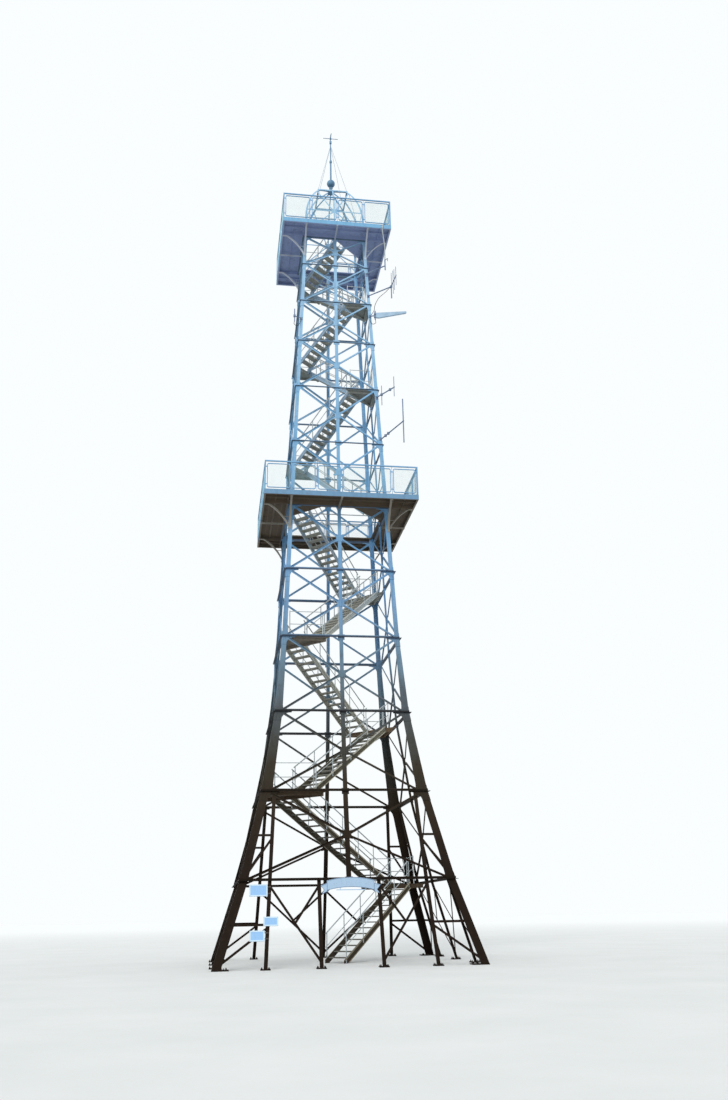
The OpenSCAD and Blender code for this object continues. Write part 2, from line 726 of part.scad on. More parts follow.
// One side of a parapet: top rail, corner post, slim posts, and framed panels on lugs.
module parapet_side(z, side_w, rail_h, panels) {
    edge = side_w / 2 - rail_tube / 2 - 4;
    first = rail_tube + 2;
    pitch = (2 * edge - first) / panels;
    frame_w = pitch - panel_post - 2 * panel_gap;
    frame_h = rail_h - rail_tube - 130;
    frame_z = z + 60 + frame_h / 2;
    translate([-edge - rail_tube / 2, -edge - rail_tube / 2, z + rail_h - rail_tube])
        cube([2 * edge - 2, rail_tube, rail_tube]);
    translate([-edge - rail_tube / 2, -edge - rail_tube / 2, z]) cube([rail_tube, rail_tube, rail_h]);
    for (i = [0 : panels - 1]) {
        x = -edge + first / 2 + (i + 0.5) * pitch;
        translate([x, -edge, frame_z]) panel_frame(frame_w, frame_h);
        lug_x = x - pitch / 2 + (i == 0 ? -8 : panel_post / 2 - 1);
        for (lug_z = [-0.36, 0.36])
            translate([lug_x, -edge - 5, frame_z + lug_z * frame_h - 20])
                cube([panel_gap + 4 + (i == 0 ? 14 : 0), 10, 40]);
        if (i < panels - 1) {
            translate([x + pitch / 2 - panel_post / 2, -edge - rail_tube / 2 + 4, z])
                cube([panel_post, rail_tube - 8, rail_h - rail_tube + lap]);
            for (lug_z = [-0.36, 0.36])
                translate([x + frame_w / 2 - 2, -edge - 5, frame_z + lug_z * frame_h - 20])
                    cube([panel_gap + 4, 10, 40]);
        }
    }
}

module parapet(z, side_w, rail_h, panels) {
    color(paint) for (side = [0 : 3]) on_side(side) parapet_side(z, side_w, rail_h, panels);
}

// Stair

// Each flight runs up from one level to the next: start height, end height and heading.
flights = [
    [0, z_entrance, 45], [z_entrance, z_knee, 225], [z_knee, z_waist, 45],
    [z_waist, z_shaft_1, 225], [z_shaft_1, z_shaft_2, 45], [z_shaft_2, z_lower_deck, 225],
    [z_lower_deck, z_upper_1, 135], [z_upper_1, z_upper_2, -45], [z_upper_2, z_upper_3, 135],
    [z_upper_3, z_upper_4, -45], [z_upper_4, z_upper_5, 135], [z_upper_5, z_upper_deck, -45]
];
lower_count = 6;
stringer_t = 12;
stringer_above = 100;
stringer_below = 130;
tread_t = 30;
rail_d = 42;
mid_rail_d = 27;

// Distance from the tower's axis to a landing's open edge, along the plan diagonal.
function landing_edge(z) = half(z) * sqrt(2) - landing_side(z) / sqrt(2);
function stair_w(i) = i < lower_count ? lower_stair_w : upper_stair_w;
function rise(i) = flights[i][1] - flights[i][0];
function run(i) = i == 0 ? first_flight_run
    : landing_edge(flights[i][0]) + landing_edge(flights[i][1]);
function steps(i) = ceil(rise(i) / max_rise);
function side_offset(i) = stair_w(i) / 2 + flight_gap / 2 + stringer_t;

// A flight's own frame: x along its run, y to its left, z up from its foot.
module flight_frame(i) {
    rotate([0, 0, flights[i][2]])
        translate([landing_edge(flights[i][1]) - run(i), -side_offset(i), flights[i][0]]) children();
}

module stringer_outline(i) {
    h = rise(i);
    r = run(i);
    foot = stringer_below * r / h;
    polygon(i == 0
        ? [[0, 0], [0, stringer_above], [r, h + stringer_above], [r, h - stringer_below], [foot, 0]]
        : [[0, -stringer_below], [0, stringer_above], [r, h + stringer_above], [r, h - stringer_below]]);
}

module flight(i) {
    color(paint) flight_frame(i) for (y = [-stair_w(i) / 2, stair_w(i) / 2 - stringer_t])
        translate([0, y + stringer_t, 0]) rotate([90, 0, 0]) linear_extrude(stringer_t) stringer_outline(i);
}

module stair_treads() {
    color(timber) for (i = [0 : len(flights) - 1]) flight_frame(i) for (j = [1 : steps(i) - 1])
        translate([
            run(i) * j / steps(i) - tread_depth / 2,
            -stair_w(i) / 2 + stringer_t,
            rise(i) * j / steps(i) - tread_t
        ]) cube([tread_depth, stair_w(i) - 2 * stringer_t, tread_t]);
}

// Handrail of one side: flat posts on the stringer's outer face, a top rail and a middle rail.
module handrail_side(i, y, out) {
    slope = rise(i) / run(i);
    posts = max(3, ceil(run(i) / 1150) + 1);
    post_w = 40;
    margin = 90;
    for (k = [0 : posts - 1]) {
        x = margin + (run(i) - 2 * margin - post_w) * k / (posts - 1);
        z = (x + post_w / 2) * slope;
        foot = i == 0 && k == 0 ? -z + 5 : -60;
        translate([x, out > 0 ? y : y - stringer_t, z + foot])
            cube([post_w, stringer_t, handrail_h - foot]);
    }
    centre = y + out * stringer_t / 2;
    x0 = margin - 40;
    x1 = run(i) - margin + 40;
    for (rail = [[handrail_h, rail_d], [handrail_h * 0.52, mid_rail_d]])
        tube_member([x0, centre, x0 * slope + rail[0]], [x1, centre, x1 * slope + rail[0]], rail[1]);
}

module handrails(first, last) {
    color(galvanised) for (i = [first : last]) flight_frame(i) {
        handrail_side(i, stair_w(i) / 2, 1);
        handrail_side(i, -stair_w(i) / 2, -1);
    }
}

// Corner landing: boards on an edge beam and two side beams, notched round the leg.
landing_board_t = 32;
landing_beam_h = 150;

module landing_plan(z) {
    h = half(z);
    side = landing_side(z);
    difference() {
        polygon([[-h, -h], [side - h, -h], [-h, side - h]]);
        for (m = [0, 1]) mirror([m, -m, 0]) {
            translate([-h - 1, -h - 1]) square([flange_w(z + 1) + deck_play, leg_t + deck_play]);
            if (z <= z_knee) translate([-inner_post_x(z) - base_post_w / 2 - deck_play, -h - 1])
                square([base_post_w + 2 * deck_play, base_post_web + 3 * deck_play]);
        }
    }
}

module landing(z, corner) {
    h = half(z);
    side = landing_side(z);
    inset = base_post_web + 30;
    edge = (side - 2 * inset) / sqrt(2);
    color(timber) on_side(corner) translate([0, 0, z]) {
        translate([0, 0, -landing_board_t]) linear_extrude(landing_board_t) landing_plan(z);
        // Edge beam under the open edge, at 45 degrees
        translate([-h, -h, -landing_beam_h]) rotate([0, 0, 45])
            translate([side / sqrt(2) - 60, -edge, 0])
                cube([60, 2 * edge, landing_beam_h - landing_board_t + lap]);
        // Side beams
        for (m = [0, 1]) mirror([m, -m, 0])
            translate([-h + inset, -h + inset, -landing_beam_h * 0.8])
                cube([side - 2 * inset - 30, 50, landing_beam_h * 0.8 - landing_board_t + lap]);
    }
}

// The corner where each flight ends, on the levels that have a landing of their own.
landing_list = [
    [z_entrance, 2], [z_knee, 0], [z_waist, 2], [z_shaft_1, 0], [z_shaft_2, 2],
    [z_upper_1, 3], [z_upper_2, 1], [z_upper_3, 3], [z_upper_4, 1], [z_upper_5, 3]
];

module landings() {
    for (l = landing_list) landing(l[0], l[1]);
}

// One straight guard panel: two posts and two rails, from the origin along x.
guard_h = 1000;
guard_post_d = 36;
guard_rail_d = 27;

module guard_panel(w) {
    for (x = [0, w]) translate([x, 0, 0]) rotate([0, 0, 90])
        cylinder(d = guard_post_d, h = guard_h, $fn = small_mesh);
    for (rail_z = [guard_h - guard_rail_d, guard_h * 0.5])
        tube_member([0, 0, rail_z], [w, 0, rail_z], guard_rail_d);
}

// Guards along the two closed sides of a landing, one panel on each. They stand upright, clear of
// the sides that lean in.
module landing_guard(z, corner) {
    inset = base_post_web + 50 + half(z) - half(z + guard_h);
    h = half(z) - inset;
    w = landing_side(z) - 2 * inset - 150;
    on_side(corner) translate([-h, -h, z]) {
        translate([100, 0, 0]) guard_panel(w);
        translate([0, 100, 0]) rotate([0, 0, 90]) guard_panel(w);
    }
}

module lower_handrails() {
    handrails(0, lower_count - 1);
    color(galvanised) for (l = landing_list) if (l[0] < z_lower_deck) landing_guard(l[0], l[1]);
}

module upper_handrails() {
    handrails(lower_count, len(flights) - 1);
    color(galvanised) for (l = landing_list) if (l[0] > z_lower_deck) landing_guard(l[0], l[1]);
}

// Rails across the shaft's open faces at a deck. Each lies behind a leg's flange and ends on the
// web of the middle post.
module stairwell_guard(z) {
    for (side = [1 : 3]) on_side(side) for (m = [0, 1]) mirror([m, 0, 0])
        for (rail_z = [z + guard_h, z + guard_h * 0.55]) {
            y = -half(rail_z + rail_d / 2) + leg_t + rail_d / 2;
            x = half(rail_z) - leg_t - 2 * rail_d;
            tube_member([bar_t / 2, y, rail_z], [x, y, rail_z], rail_d);
        }
}

// Rails inside the crown's ribs, as [side, from, to], with the ends given as shares of the side's
// half width. They leave out the corner where the stair comes up.
crown_rails = [[0, -1, 0.05], [1, -0.05, 1], [2, -1, 1], [3, -1, 1]];

module crown_guard() {
    for (rail = crown_rails) on_side(rail[0]) for (level = [guard_h * 0.52, guard_h * 0.95]) {
        rail_z = level + (rail[0] % 2) * (mid_rail_d + deck_play);
        reach = crown_at(rail_z + mid_rail_d) - rib_plate_t - lap;
        y = mid_rib_depth + mid_rail_d / 2 - crown_at(rail_z + mid_rail_d / 2);
        tube_member([rail[1] * reach, y, rail_z], [rail[2] * reach, y, rail_z], mid_rail_d);
    }
}

module stairwell_guards() {
    color(galvanised) stairwell_guard(z_lower_deck);
    color(galvanised) translate([0, 0, z_upper_deck]) crown_guard();
}

// Crown

rib_plate_t = 12;
mid_rib_w = 60;
mid_rib_depth = 45;
crown_inset = 20;
arch_steps = 10;
crown_foot = shaft_top_w / 2 - crown_inset;
crown_top = crown_ring_w / 2;
arch_h = crown_h - crown_spring_h;
arch_r = (pow(crown_foot - crown_top, 2) + arch_h * arch_h) / (2 * (crown_foot - crown_top));

// Distance of the crown's sides from the axis at a height above the deck. They rise upright to
// the springing and lean in along an arc from there.
function crown_at(z) = z <= crown_spring_h ? crown_foot
    : crown_foot - arch_r + sqrt(arch_r * arch_r - pow(z - crown_spring_h, 2));
crown_levels = concat([0], [for (k = [0 : arch_steps]) crown_spring_h + arch_h * k / arch_steps]);

// Upright slice of the crown's side that faces +X, between two distances from its outer face.
module crown_slice(inner, outer) {
    rotate([90, 0, 0]) linear_extrude(4 * crown_foot, center = true) polygon(concat(
        [for (z = crown_levels) [crown_at(z) + outer, z]],
        [for (i = [len(crown_levels) - 1 : -1 : 0]) [crown_at(crown_levels[i]) + inner, crown_levels[i]]]
    ));
}

// Curved column on the corner at +X, +Y, where the slices of two sides meet.
module corner_column(inner, outer) {
    intersection() {
        crown_slice(inner, outer);
        mirror([1, -1, 0]) crown_slice(inner, outer);
    }
}

// Corner rib: an angle with one flange in each of two sides.
module corner_rib() {
    difference() {
        corner_column(-rib_w, 0);
        corner_column(-rib_w - 1, -rib_plate_t);
    }
    translate([crown_foot - rib_w, crown_foot - rib_w, 0])
        cube([rib_w + crown_inset, rib_w + crown_inset, rib_plate_t]);
}

module middle_rib() {
    intersection() {
        crown_slice(-mid_rib_depth, 0);
        translate([0, -mid_rib_w / 2, 0]) cube([2 * crown_foot, mid_rib_w, crown_h]);
    }
    translate([crown_foot - mid_rib_depth, -rib_w, 0])
        cube([mid_rib_depth + crown_inset, 2 * rib_w, rib_plate_t]);
}

module crown_ribs() {
    color(paint) translate([0, 0, z_upper_deck]) for (side = [0 : 3]) on_side(side) {
        corner_rib();
        middle_rib();
    }
}

// Height of the crown's star gussets above the deck.
crown_star_z = crown_h * 0.47;
crown_bar_w = 48;
crown_bar_t = 8;
crown_star_w = 330;
crown_star_h = 330;

// A flat bar of the crown's bracing, between two points given as [place along the side, height].
// It lies behind the ribs' flanges at both ends.
module crown_bar(a, b, inset) {
    depth = rib_plate_t + crown_bar_t / 2 + lap + inset;
    member([crown_at(a.y) - depth, a.x, a.y], [crown_at(b.y) - depth, b.x, b.y], [1, 0, 0])
        square([crown_bar_w, crown_bar_t], center = true);
}

// Bracing of one half of a side: half a star gusset against the middle rib, two diagonals and
// half a belt.
module half_side_bracing() {
    lean_angle = asin(max(0, crown_star_z - crown_spring_h) / arch_r);
    star_x = mid_rib_w / 2;
    depth = rib_plate_t + crown_bar_t;
    translate([crown_at(crown_star_z) - depth, 0, crown_star_z]) rotate([0, -lean_angle, 0])
        rotate([90, 0, 90]) linear_extrude(crown_bar_t) polygon([
            [star_x, -crown_star_h * 0.3], [crown_star_w * 0.34, -crown_star_h * 0.5],
            for (t = [-1 : 0.5 : 1]) [crown_star_w * (0.3 + 0.2 * t * t), crown_star_h * 0.36 * t],
            [crown_star_w * 0.34, crown_star_h * 0.5], [star_x, crown_star_h * 0.3]
        ]);
    foot = [crown_foot - rib_w * 0.7, 150];
    head = [crown_at(crown_h - 140) - rib_w * 0.7, crown_h - 140];
    crown_bar(foot, [crown_star_w * 0.26, crown_star_z - crown_star_h * 0.25], 0);
    crown_bar(head, [crown_star_w * 0.26, crown_star_z + crown_star_h * 0.25], 4);
    crown_bar([crown_at(crown_star_z) - rib_w * 0.7, crown_star_z], [crown_star_w * 0.2, crown_star_z], 8);
}

module crown_bracing() {
    color(paint) translate([0, 0, z_upper_deck]) for (side = [0 : 3]) on_side(side)
        for (m = [0, 1]) mirror([0, m, 0]) half_side_bracing();
}

ring_bar = 60;
hub_r = 150;
hub_h = 70;
hub_z = 430;
hip_w = 46;

// Square ring on the ribs' heads, with eight hip bars up to a hub under the mast.
module crown() {
    inner = crown_ring_w - 2 * ring_bar;
    color(paint) translate([0, 0, z_ring]) {
        linear_extrude(ring_bar) difference() {
            square(crown_ring_w, center = true);
            square(inner, center = true);
        }
        for (side = [0 : 3]) on_side(side) {
            member([crown_top - ring_bar / 2, 0, ring_bar / 2], [hub_r * 0.6, 0, hub_z + hub_h / 2])
                square([hip_w, hip_w * 0.8], center = true);
            member([crown_top - ring_bar / 2, crown_top - ring_bar / 2, ring_bar / 2],
                [hub_r * 0.4, hub_r * 0.4, hub_z + hub_h / 2]) square([hip_w, hip_w * 0.8], center = true);
        }
        translate([0, 0, hub_z]) cylinder(r = hub_r, h = hub_h, $fn = 32);
    }
}

mast_d = 72;
ball_z = 960;
collar_z = 2210;
arm_reach = 340;
stay_d = 12;

module mast() {
    base = hub_z + hub_h;
    arm_z = mast_h - 270;
    boss_z = mast_h - 520;
    stay_z = mast_h - 760;
    color(paint) translate([0, 0, z_ring]) {
        translate([0, 0, base]) rotate_extrude($fn = 48) polygon([
            [0, 0], [135, 0], [135, 24], [100, 40], [62, 90], [58, 150], [84, 190], [84, 215], [0, 260]
        ]);
        translate([0, 0, ball_z]) sphere(r = ball_r, $fn = 48);
        translate([0, 0, base + 200]) cylinder(d = mast_d, h = collar_z - base - 200, $fn = 24);
        translate([0, 0, collar_z - 20]) cylinder(d = mast_d * 0.72, h = boss_z - collar_z + 40, $fn = 24);
        translate([0, 0, boss_z]) cylinder(d = mast_d * 0.5, h = mast_h - boss_z - 120, $fn = 24);
        translate([0, 0, mast_h - 140]) cylinder(d = mast_d * 0.25, h = 140, $fn = small_mesh);
        translate([0, 0, collar_z - 50]) cylinder(d = 112, h = 100, $fn = 24);
        translate([0, 0, boss_z - 40]) cylinder(d = 96, h = 130, $fn = 24);
        translate([0, 0, arm_z - 45]) cylinder(d = 78, h = 90, $fn = 24);
        for (a = [0, 90]) rotate([0, 0, a]) tube_member([-arm_reach, 0, arm_z], [arm_reach, 0, arm_z], 26);
        for (corner = [0 : 3]) on_side(corner) tube_member(
            [ring_bar / 2 - crown_top, ring_bar / 2 - crown_top, ring_bar], [-15, -15, stay_z], stay_d
        );
    }
}

// Antennas on the front legs. Each has a clamp plate on the leg's front flange and a boom.

clamp_w = 90;
clamp_h = 130;
clamp_t = 14;
boom_d = 48;
rod_d = 28;

module leg_clamp(z) {
    face_bay(z - clamp_h / 2, z + clamp_h / 2) translate([half(z) - clamp_w - 12, 0, 0])
        cube([clamp_w, clamp_h, clamp_t]);
}

// Where a boom of diameter d that runs along a vector starts, so that it just meets its plate.
function boom_root(z, along, d) = [
    half(z) - clamp_w / 2 - 12, lap - half(z) - clamp_t - d / 2 * abs(along.x) / norm(along), z
];

module upright_rod(at, low, high, d) {
    translate([at.x, at.y, at.z + low]) cylinder(d = d, h = high - low, $fn = small_mesh);
}

module pipe_clamp(at) {
    translate([at.x - 45, at.y - 45, at.z - 40]) cube([90, 90, 80]);
}

// Two dipoles on a short boom.
module dipole_pair(z) {
    along = [560, -860, 20];
    root = boom_root(z, along, boom_d);
    tip = root + along;
    inner = root + (tip - root) * 0.27;
    leg_clamp(z - 30);
    tube_member(root, tip, boom_d);
    upright_rod(inner, -480, 400, rod_d);
    upright_rod(tip - [15, -22, 0], -400, 480, rod_d);
    pipe_clamp(inner);
    pipe_clamp(root + (tip - root) * 0.75);
}

// One long rod on a boom.
module rod_antenna(z) {
    along = [630, -1600, 40];
    root = boom_root(z, along, boom_d);
    tip = root + along;
    leg_clamp(z + 40);
    tube_member(root, tip, boom_d);
    pipe_clamp(root + (tip - root) * 0.22);
    pipe_clamp(root + (tip - root) * 0.34);
    upright_rod(tip - [10, -30, 0], -900, 950, 44);
}

// A directional antenna that points forward, with upright elements on its own boom.
module element_array(z) {
    along = [850, -690, 50];
    root = boom_root(z, along, boom_d);
    knee = root + along;
    tip = knee + [70, -820, 0];
    leg_clamp(z);
    tube_member(root, knee, boom_d);
    tube_member(knee - (tip - knee) * 0.12, tip, boom_d * 0.8);
    pipe_clamp(knee);
    for (e = [[0.1, 620], [0.4, 560], [0.62, 500], [0.94, 440]])
        upright_rod(knee + (tip - knee) * e[0], -e[1], e[1], rod_d * 0.8);
    upright_rod(knee, -560, 60, rod_d);
}

// A flat tapering antenna that points to the right, on a stub pipe.
module blade_antenna(z) {
    along = [210, -10, 30];
    root = boom_root(z, along, boom_d);
    stub = root + along;
    leg_clamp(z);
    tube_member(root, stub, boom_d);
    upright_rod(stub, -190, 230, 50);
    pipe_clamp(stub + [0, 0, 90]);
    pipe_clamp(stub - [0, 0, 60]);
    translate(stub + [30, 0, 10]) rotate([90, 0, 0]) linear_extrude(84, center = true) polygon([
        [0, -85], [20, -110], [140, -110], [1270, 205], [1300, 225],
        [1300, 265], [1270, 285], [60, 120], [0, 95]
    ]);
}

// A short rod on a bent bracket.
module hook_mount(z) {
    along = [720, -560, 60];
    root = boom_root(z, along, boom_d);
    tip = root + along;
    leg_clamp(z - 60);
    tube_member(root, tip, boom_d);
    upright_rod(tip - [10, -8, 0], -210, 300, 50);
    tube_member(tip + [-10, 8, 280], tip + [90, -60, 330], rod_d);
    tube_member(tip + [90, -60, 340], tip + [90, -60, 200], rod_d);
}

// Heights of the clamps, from the belts, where they are clear of the gussets.
rod_z = z_upper_1 + 230;
dipole_z = z_upper_2 - 330;
blade_z = z_upper_4 - 580;
array_z = z_upper_4 + 440;
hook_z = z_upper_5 - 280;
small_rod_z = z_upper_4 - 910;

module antennas() {
    color(galvanised) {
        rod_antenna(rod_z);
        dipole_pair(dipole_z);
        blade_antenna(blade_z);
        element_array(array_z);
        hook_mount(hook_z);
        mirror([1, 0, 0]) {
            along = [300, -120, 20];
            root = boom_root(small_rod_z, along, boom_d * 0.7);
            leg_clamp(small_rod_z);
            tube_member(root, root + along, boom_d * 0.7);
            pipe_clamp(root + along * 0.97);
            upright_rod(root + along * 0.97, -260, 330, 44);
        }
    }
}

// Banner and boards

function arc_y(x, w, sag) = sag * (1 - pow(2 * x / w, 2));

banner_t = 14;
banner_gap = 60;
banner_sag = 95;
banner_drop = 215;
banner_x = 35;

// Arched banner over the entrance, with a folded, forked tail on each side and a narrow strip
// under it; two clips hold it to the belt.
module entrance_banner() {
    body_w = banner_w * 0.8;
    tail_w = (banner_w - body_w) / 2;
    back = half(z_entrance) + belt_flange + banner_gap;
    points = 14;
    xs = [for (k = [0 : points]) body_w * (k / points - 0.5)];
    color(board_white) translate([banner_x, -back, z_entrance - banner_drop]) rotate([90, 0, 0]) {
        linear_extrude(banner_t) polygon(concat(
            [for (x = xs) [x, arc_y(x, body_w, banner_sag) - banner_sag]],
            [for (k = [points : -1 : 0]) [xs[k], banner_h + arc_y(xs[k], body_w, banner_sag) - banner_sag]]
        ));
        for (m = [0, 1]) mirror([m, 0, 0]) {
            translate([0, 0, 4 - banner_t]) linear_extrude(banner_t - 4 + lap) polygon([
                [body_w / 2 - 90, -banner_sag + 20], [body_w / 2 + tail_w * 0.9, -banner_sag - 110],
                [body_w / 2 + tail_w * 0.45, -banner_sag + 15], [body_w / 2 + tail_w, -banner_sag + 150],
                [body_w / 2 - 90, -banner_sag + 250]
            ]);
            translate([body_w * 0.3, banner_drop - 40, -banner_gap]) cube([60, 60, banner_gap + lap]);
        }
        translate([-body_w * 0.3, -95, 2]) cube([body_w * 0.6, 26, banner_t - 4]);
        for (x = [-0.22, 0.22]) translate([x * body_w - 12, -80, 3]) cube([24, 110, 5]);
    }
}

board_t = 16;
batten_t = 8;

// A notice board on the front left inner post, its left edge at x and its lower edge at z.
module notice_board(x, z, w, h) {
    left = min(x + 20, -inner_post_x(z) - base_post_w / 2);
    right = max(x + w - 20, -inner_post_x(z) + base_post_w / 2);
    face_bay(0, z_entrance) translate([0, z / cos(lean(0, z_entrance)), 0]) {
        translate([x, 0, batten_t]) cube([w, h, board_t]);
        for (y = [h * 0.2, h * 0.75]) translate([left, y, 0]) cube([right - left, 35, batten_t + lap]);
    }
}

module notice_boards() {
    color(board_white) {
        notice_board(-inner_post_foot_x - 510, z_entrance - 460, 570, 370);
        notice_board(-inner_post_foot_x - 70, z_entrance - 1330, 460, 280);
        notice_board(-inner_post_foot_x - 490, z_entrance - 1760, 460, 320);
    }
}

shaft_leg(0);  // leg_front_left
shaft_leg(1);  // leg_front_right
shaft_leg(2);  // leg_back_right
shaft_leg(3);  // leg_back_left
raker(0);  // raker_front_left
raker(1);  // raker_front_right
raker(2);  // raker_back_right
raker(3);  // raker_back_left
front_base(false);  // front_base_left
front_base(true);  // front_base_right
closed_base(1);  // right_base
closed_base(2);  // back_base
closed_base(3);  // left_base
lower_lattice(0);  // lower_lattice_front
lower_lattice(1);  // lower_lattice_right
lower_lattice(2);  // lower_lattice_back
lower_lattice(3);  // lower_lattice_left
upper_lattice(0);  // upper_lattice_front
upper_lattice(1);  // upper_lattice_right
upper_lattice(2);  // upper_lattice_back
upper_lattice(3);  // upper_lattice_left
deck(z_lower_deck, lower_platform_w, lower_front_strip, true);  // lower_deck
deck(z_upper_deck, upper_platform_w, min(upper_front_strip, strip_limit()), false);  // upper_deck
brackets(z_lower_deck, lower_platform_w, 80);  // lower_brackets
brackets(z_upper_deck, upper_platform_w, 70);  // upper_brackets
parapet(z_lower_deck, lower_platform_w, lower_rail_h, lower_panels);  // lower_parapet
parapet(z_upper_deck, upper_platform_w, upper_rail_h, upper_panels);  // upper_parapet
flight(0);  // flight_1
flight(1);  // flight_2
flight(2);  // flight_3
flight(3);  // flight_4
flight(4);  // flight_5
flight(5);  // flight_6
flight(6);  // flight_7
flight(7);  // flight_8
flight(8);  // flight_9
flight(9);  // flight_10
flight(10);  // flight_11
flight(11);  // flight_12
stair_treads();
landings();
lower_handrails();
upper_handrails();
stairwell_guards();
crown_ribs();
crown_bracing();
crown();
mast();
antennas();
entrance_banner();
notice_boards();
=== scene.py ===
import json
import math
import random
from collections import namedtuple
from itertools import pairwise, product

import bpy
import numpy as np
from mathutils import Matrix, Vector


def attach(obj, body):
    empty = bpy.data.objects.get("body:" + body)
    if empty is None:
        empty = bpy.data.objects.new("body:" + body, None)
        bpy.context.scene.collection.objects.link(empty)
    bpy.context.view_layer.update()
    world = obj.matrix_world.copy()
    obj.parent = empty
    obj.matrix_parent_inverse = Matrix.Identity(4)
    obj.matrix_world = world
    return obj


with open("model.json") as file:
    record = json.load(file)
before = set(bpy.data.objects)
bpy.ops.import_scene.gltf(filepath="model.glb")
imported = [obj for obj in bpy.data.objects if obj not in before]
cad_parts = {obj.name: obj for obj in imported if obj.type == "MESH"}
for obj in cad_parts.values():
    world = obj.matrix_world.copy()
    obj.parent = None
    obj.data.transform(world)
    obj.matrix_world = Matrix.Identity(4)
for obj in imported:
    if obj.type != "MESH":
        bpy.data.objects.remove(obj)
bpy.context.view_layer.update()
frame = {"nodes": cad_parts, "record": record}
random.seed(7)

# Driving sizes in metres, the same as the CAD part's
GROUND_W, ENTRANCE_W, KNEE_W, WAIST_W, NECK_W, TOP_W = 8.52, 6.96, 5.62, 4.70, 4.24, 2.60
Z_ENTRANCE, Z_KNEE, Z_WAIST, Z_NECK = 2.56, 5.41, 8.17, 10.92
LOWER_LEVELS = [Z_ENTRANCE, Z_KNEE, Z_WAIST, Z_NECK, 13.51, 16.11]
Z_LOWER_DECK = 16.30
UPPER_LEVELS = [Z_LOWER_DECK, 18.87, 21.36, 23.53, 25.51, 27.38, 28.81]
Z_UPPER_DECK = 29.00
PROFILE_Z = [0, Z_ENTRANCE, Z_KNEE, Z_WAIST, Z_NECK, Z_UPPER_DECK]
PROFILE_HALF = [w / 2 for w in (GROUND_W, ENTRANCE_W, KNEE_W, WAIST_W, NECK_W, TOP_W)]
RAKER_W = 0.27
LEG_Z = [Z_KNEE, Z_WAIST, Z_NECK, Z_UPPER_DECK]
LEG_W = [0.37, 0.25, 0.165, 0.12]
GUSSET_T = 0.012
GUSSET_REACH, GUSSET_DROP, GUSSET_EDGE, GUSSET_SEAT = 0.33, 0.33, 0.04, 0.16
STANDING_SHARE, TOP_GUSSET_SHARE = 0.65, 0.75
STAR_W, TOP_STAR_W = 0.50, 0.37
STAR_H, TOP_STAR_H = 0.30, 0.35
BELT_FLANGE, UPPER_BELT_FLANGE = 0.085, 0.055
BELT_FACE = 0.014
MID_POST_W, MID_POST_WEB = 0.13, 0.06
DECK_DEPTH, DECK_BOARD_T = 0.19, 0.04
BRACKET_DROP = 0.89

# A platform's strip and corner landings lie inside the shaft; corners are those with boards.
Platform = namedtuple("Platform", "name z side_w rail_h panels strip corner_w corners bracket_w")
PLATFORMS = LOWER, UPPER = [
    Platform("lower", Z_LOWER_DECK, 5.79, 1.16, 6, 0.43, 1.67, (-1, 1), 0.08),
    Platform("upper", Z_UPPER_DECK, 4.58, 1.24, 4, 0.24, 1.48, (1,), 0.07),
]

TURNS = [Matrix.Rotation(side * math.pi / 2, 4, "Z") for side in range(4)]
EIGHTH = Matrix.Rotation(math.pi / 4, 4, "Z")
FACING_OUT = Matrix.Rotation(math.pi / 2, 4, "X")


def move(x, y, z):
    return Matrix.Translation((x, y, z))


def half(z):
    """Half width of the tower at a height, to the outer face of its legs."""
    return float(np.interp(z, PROFILE_Z, PROFILE_HALF))


def flange(z):
    """Width of a leg's flange at a height."""
    return RAKER_W if z < Z_KNEE else float(np.interp(z, LEG_Z, LEG_W))


def flange_by(level, upward):
    """Width of a leg's flange just above or just below a belt."""
    return flange(level + (0.001 if upward else -0.001))


def slope_length(z1, z2):
    return math.hypot(half(z1) - half(z2), z2 - z1)


def face_matrix(side, z1, z2):
    """Plane of one bay of a face: x across, y up the slope, z outwards from the legs."""
    lean = math.atan2(half(z1) - half(z2), z2 - z1)
    return TURNS[side] @ move(0, -half(z1), z1) @ Matrix.Rotation(math.pi / 2 - lean, 4, "X")


def add_object(name, data):
    thing = bpy.data.objects.new(name, data)
    bpy.context.scene.collection.objects.link(thing)
    return thing


def add_mesh(name, points, faces):
    mesh = bpy.data.meshes.new(name)
    mesh.from_pydata(points, [], faces)
    return add_object(name, mesh)


# Camera at the photograph's viewing place

CAMERA_PLACE = (-4.361, -36.506, 1.514)
YAW, PITCH, ROLL = (math.radians(a) for a in (-8.684, 20.182, -1.074))
FOCAL_PX, IMAGE_H = 991.9, 1100
SENSOR = 36.0
FLOOR_REACH, CLIP_END = 400, 500


def add_camera():
    data = bpy.data.cameras.new("camera")
    data.sensor_width = SENSOR
    data.lens = FOCAL_PX * SENSOR / IMAGE_H
    data.clip_end = CLIP_END
    forward = Vector((
        -math.sin(YAW) * math.cos(PITCH),
        math.cos(YAW) * math.cos(PITCH),
        math.sin(PITCH),
    ))
    level_right = Vector((math.cos(YAW), math.sin(YAW), 0))
    level_up = level_right.cross(forward)
    right = level_right * math.cos(ROLL) + level_up * math.sin(ROLL)
    up = level_up * math.cos(ROLL) - level_right * math.sin(ROLL)
    camera = add_object("camera", data)
    camera.matrix_world = move(*CAMERA_PLACE) @ Matrix((right, up, -forward)).transposed().to_4x4()
    bpy.context.scene.camera = camera


# Node materials

materials = {}


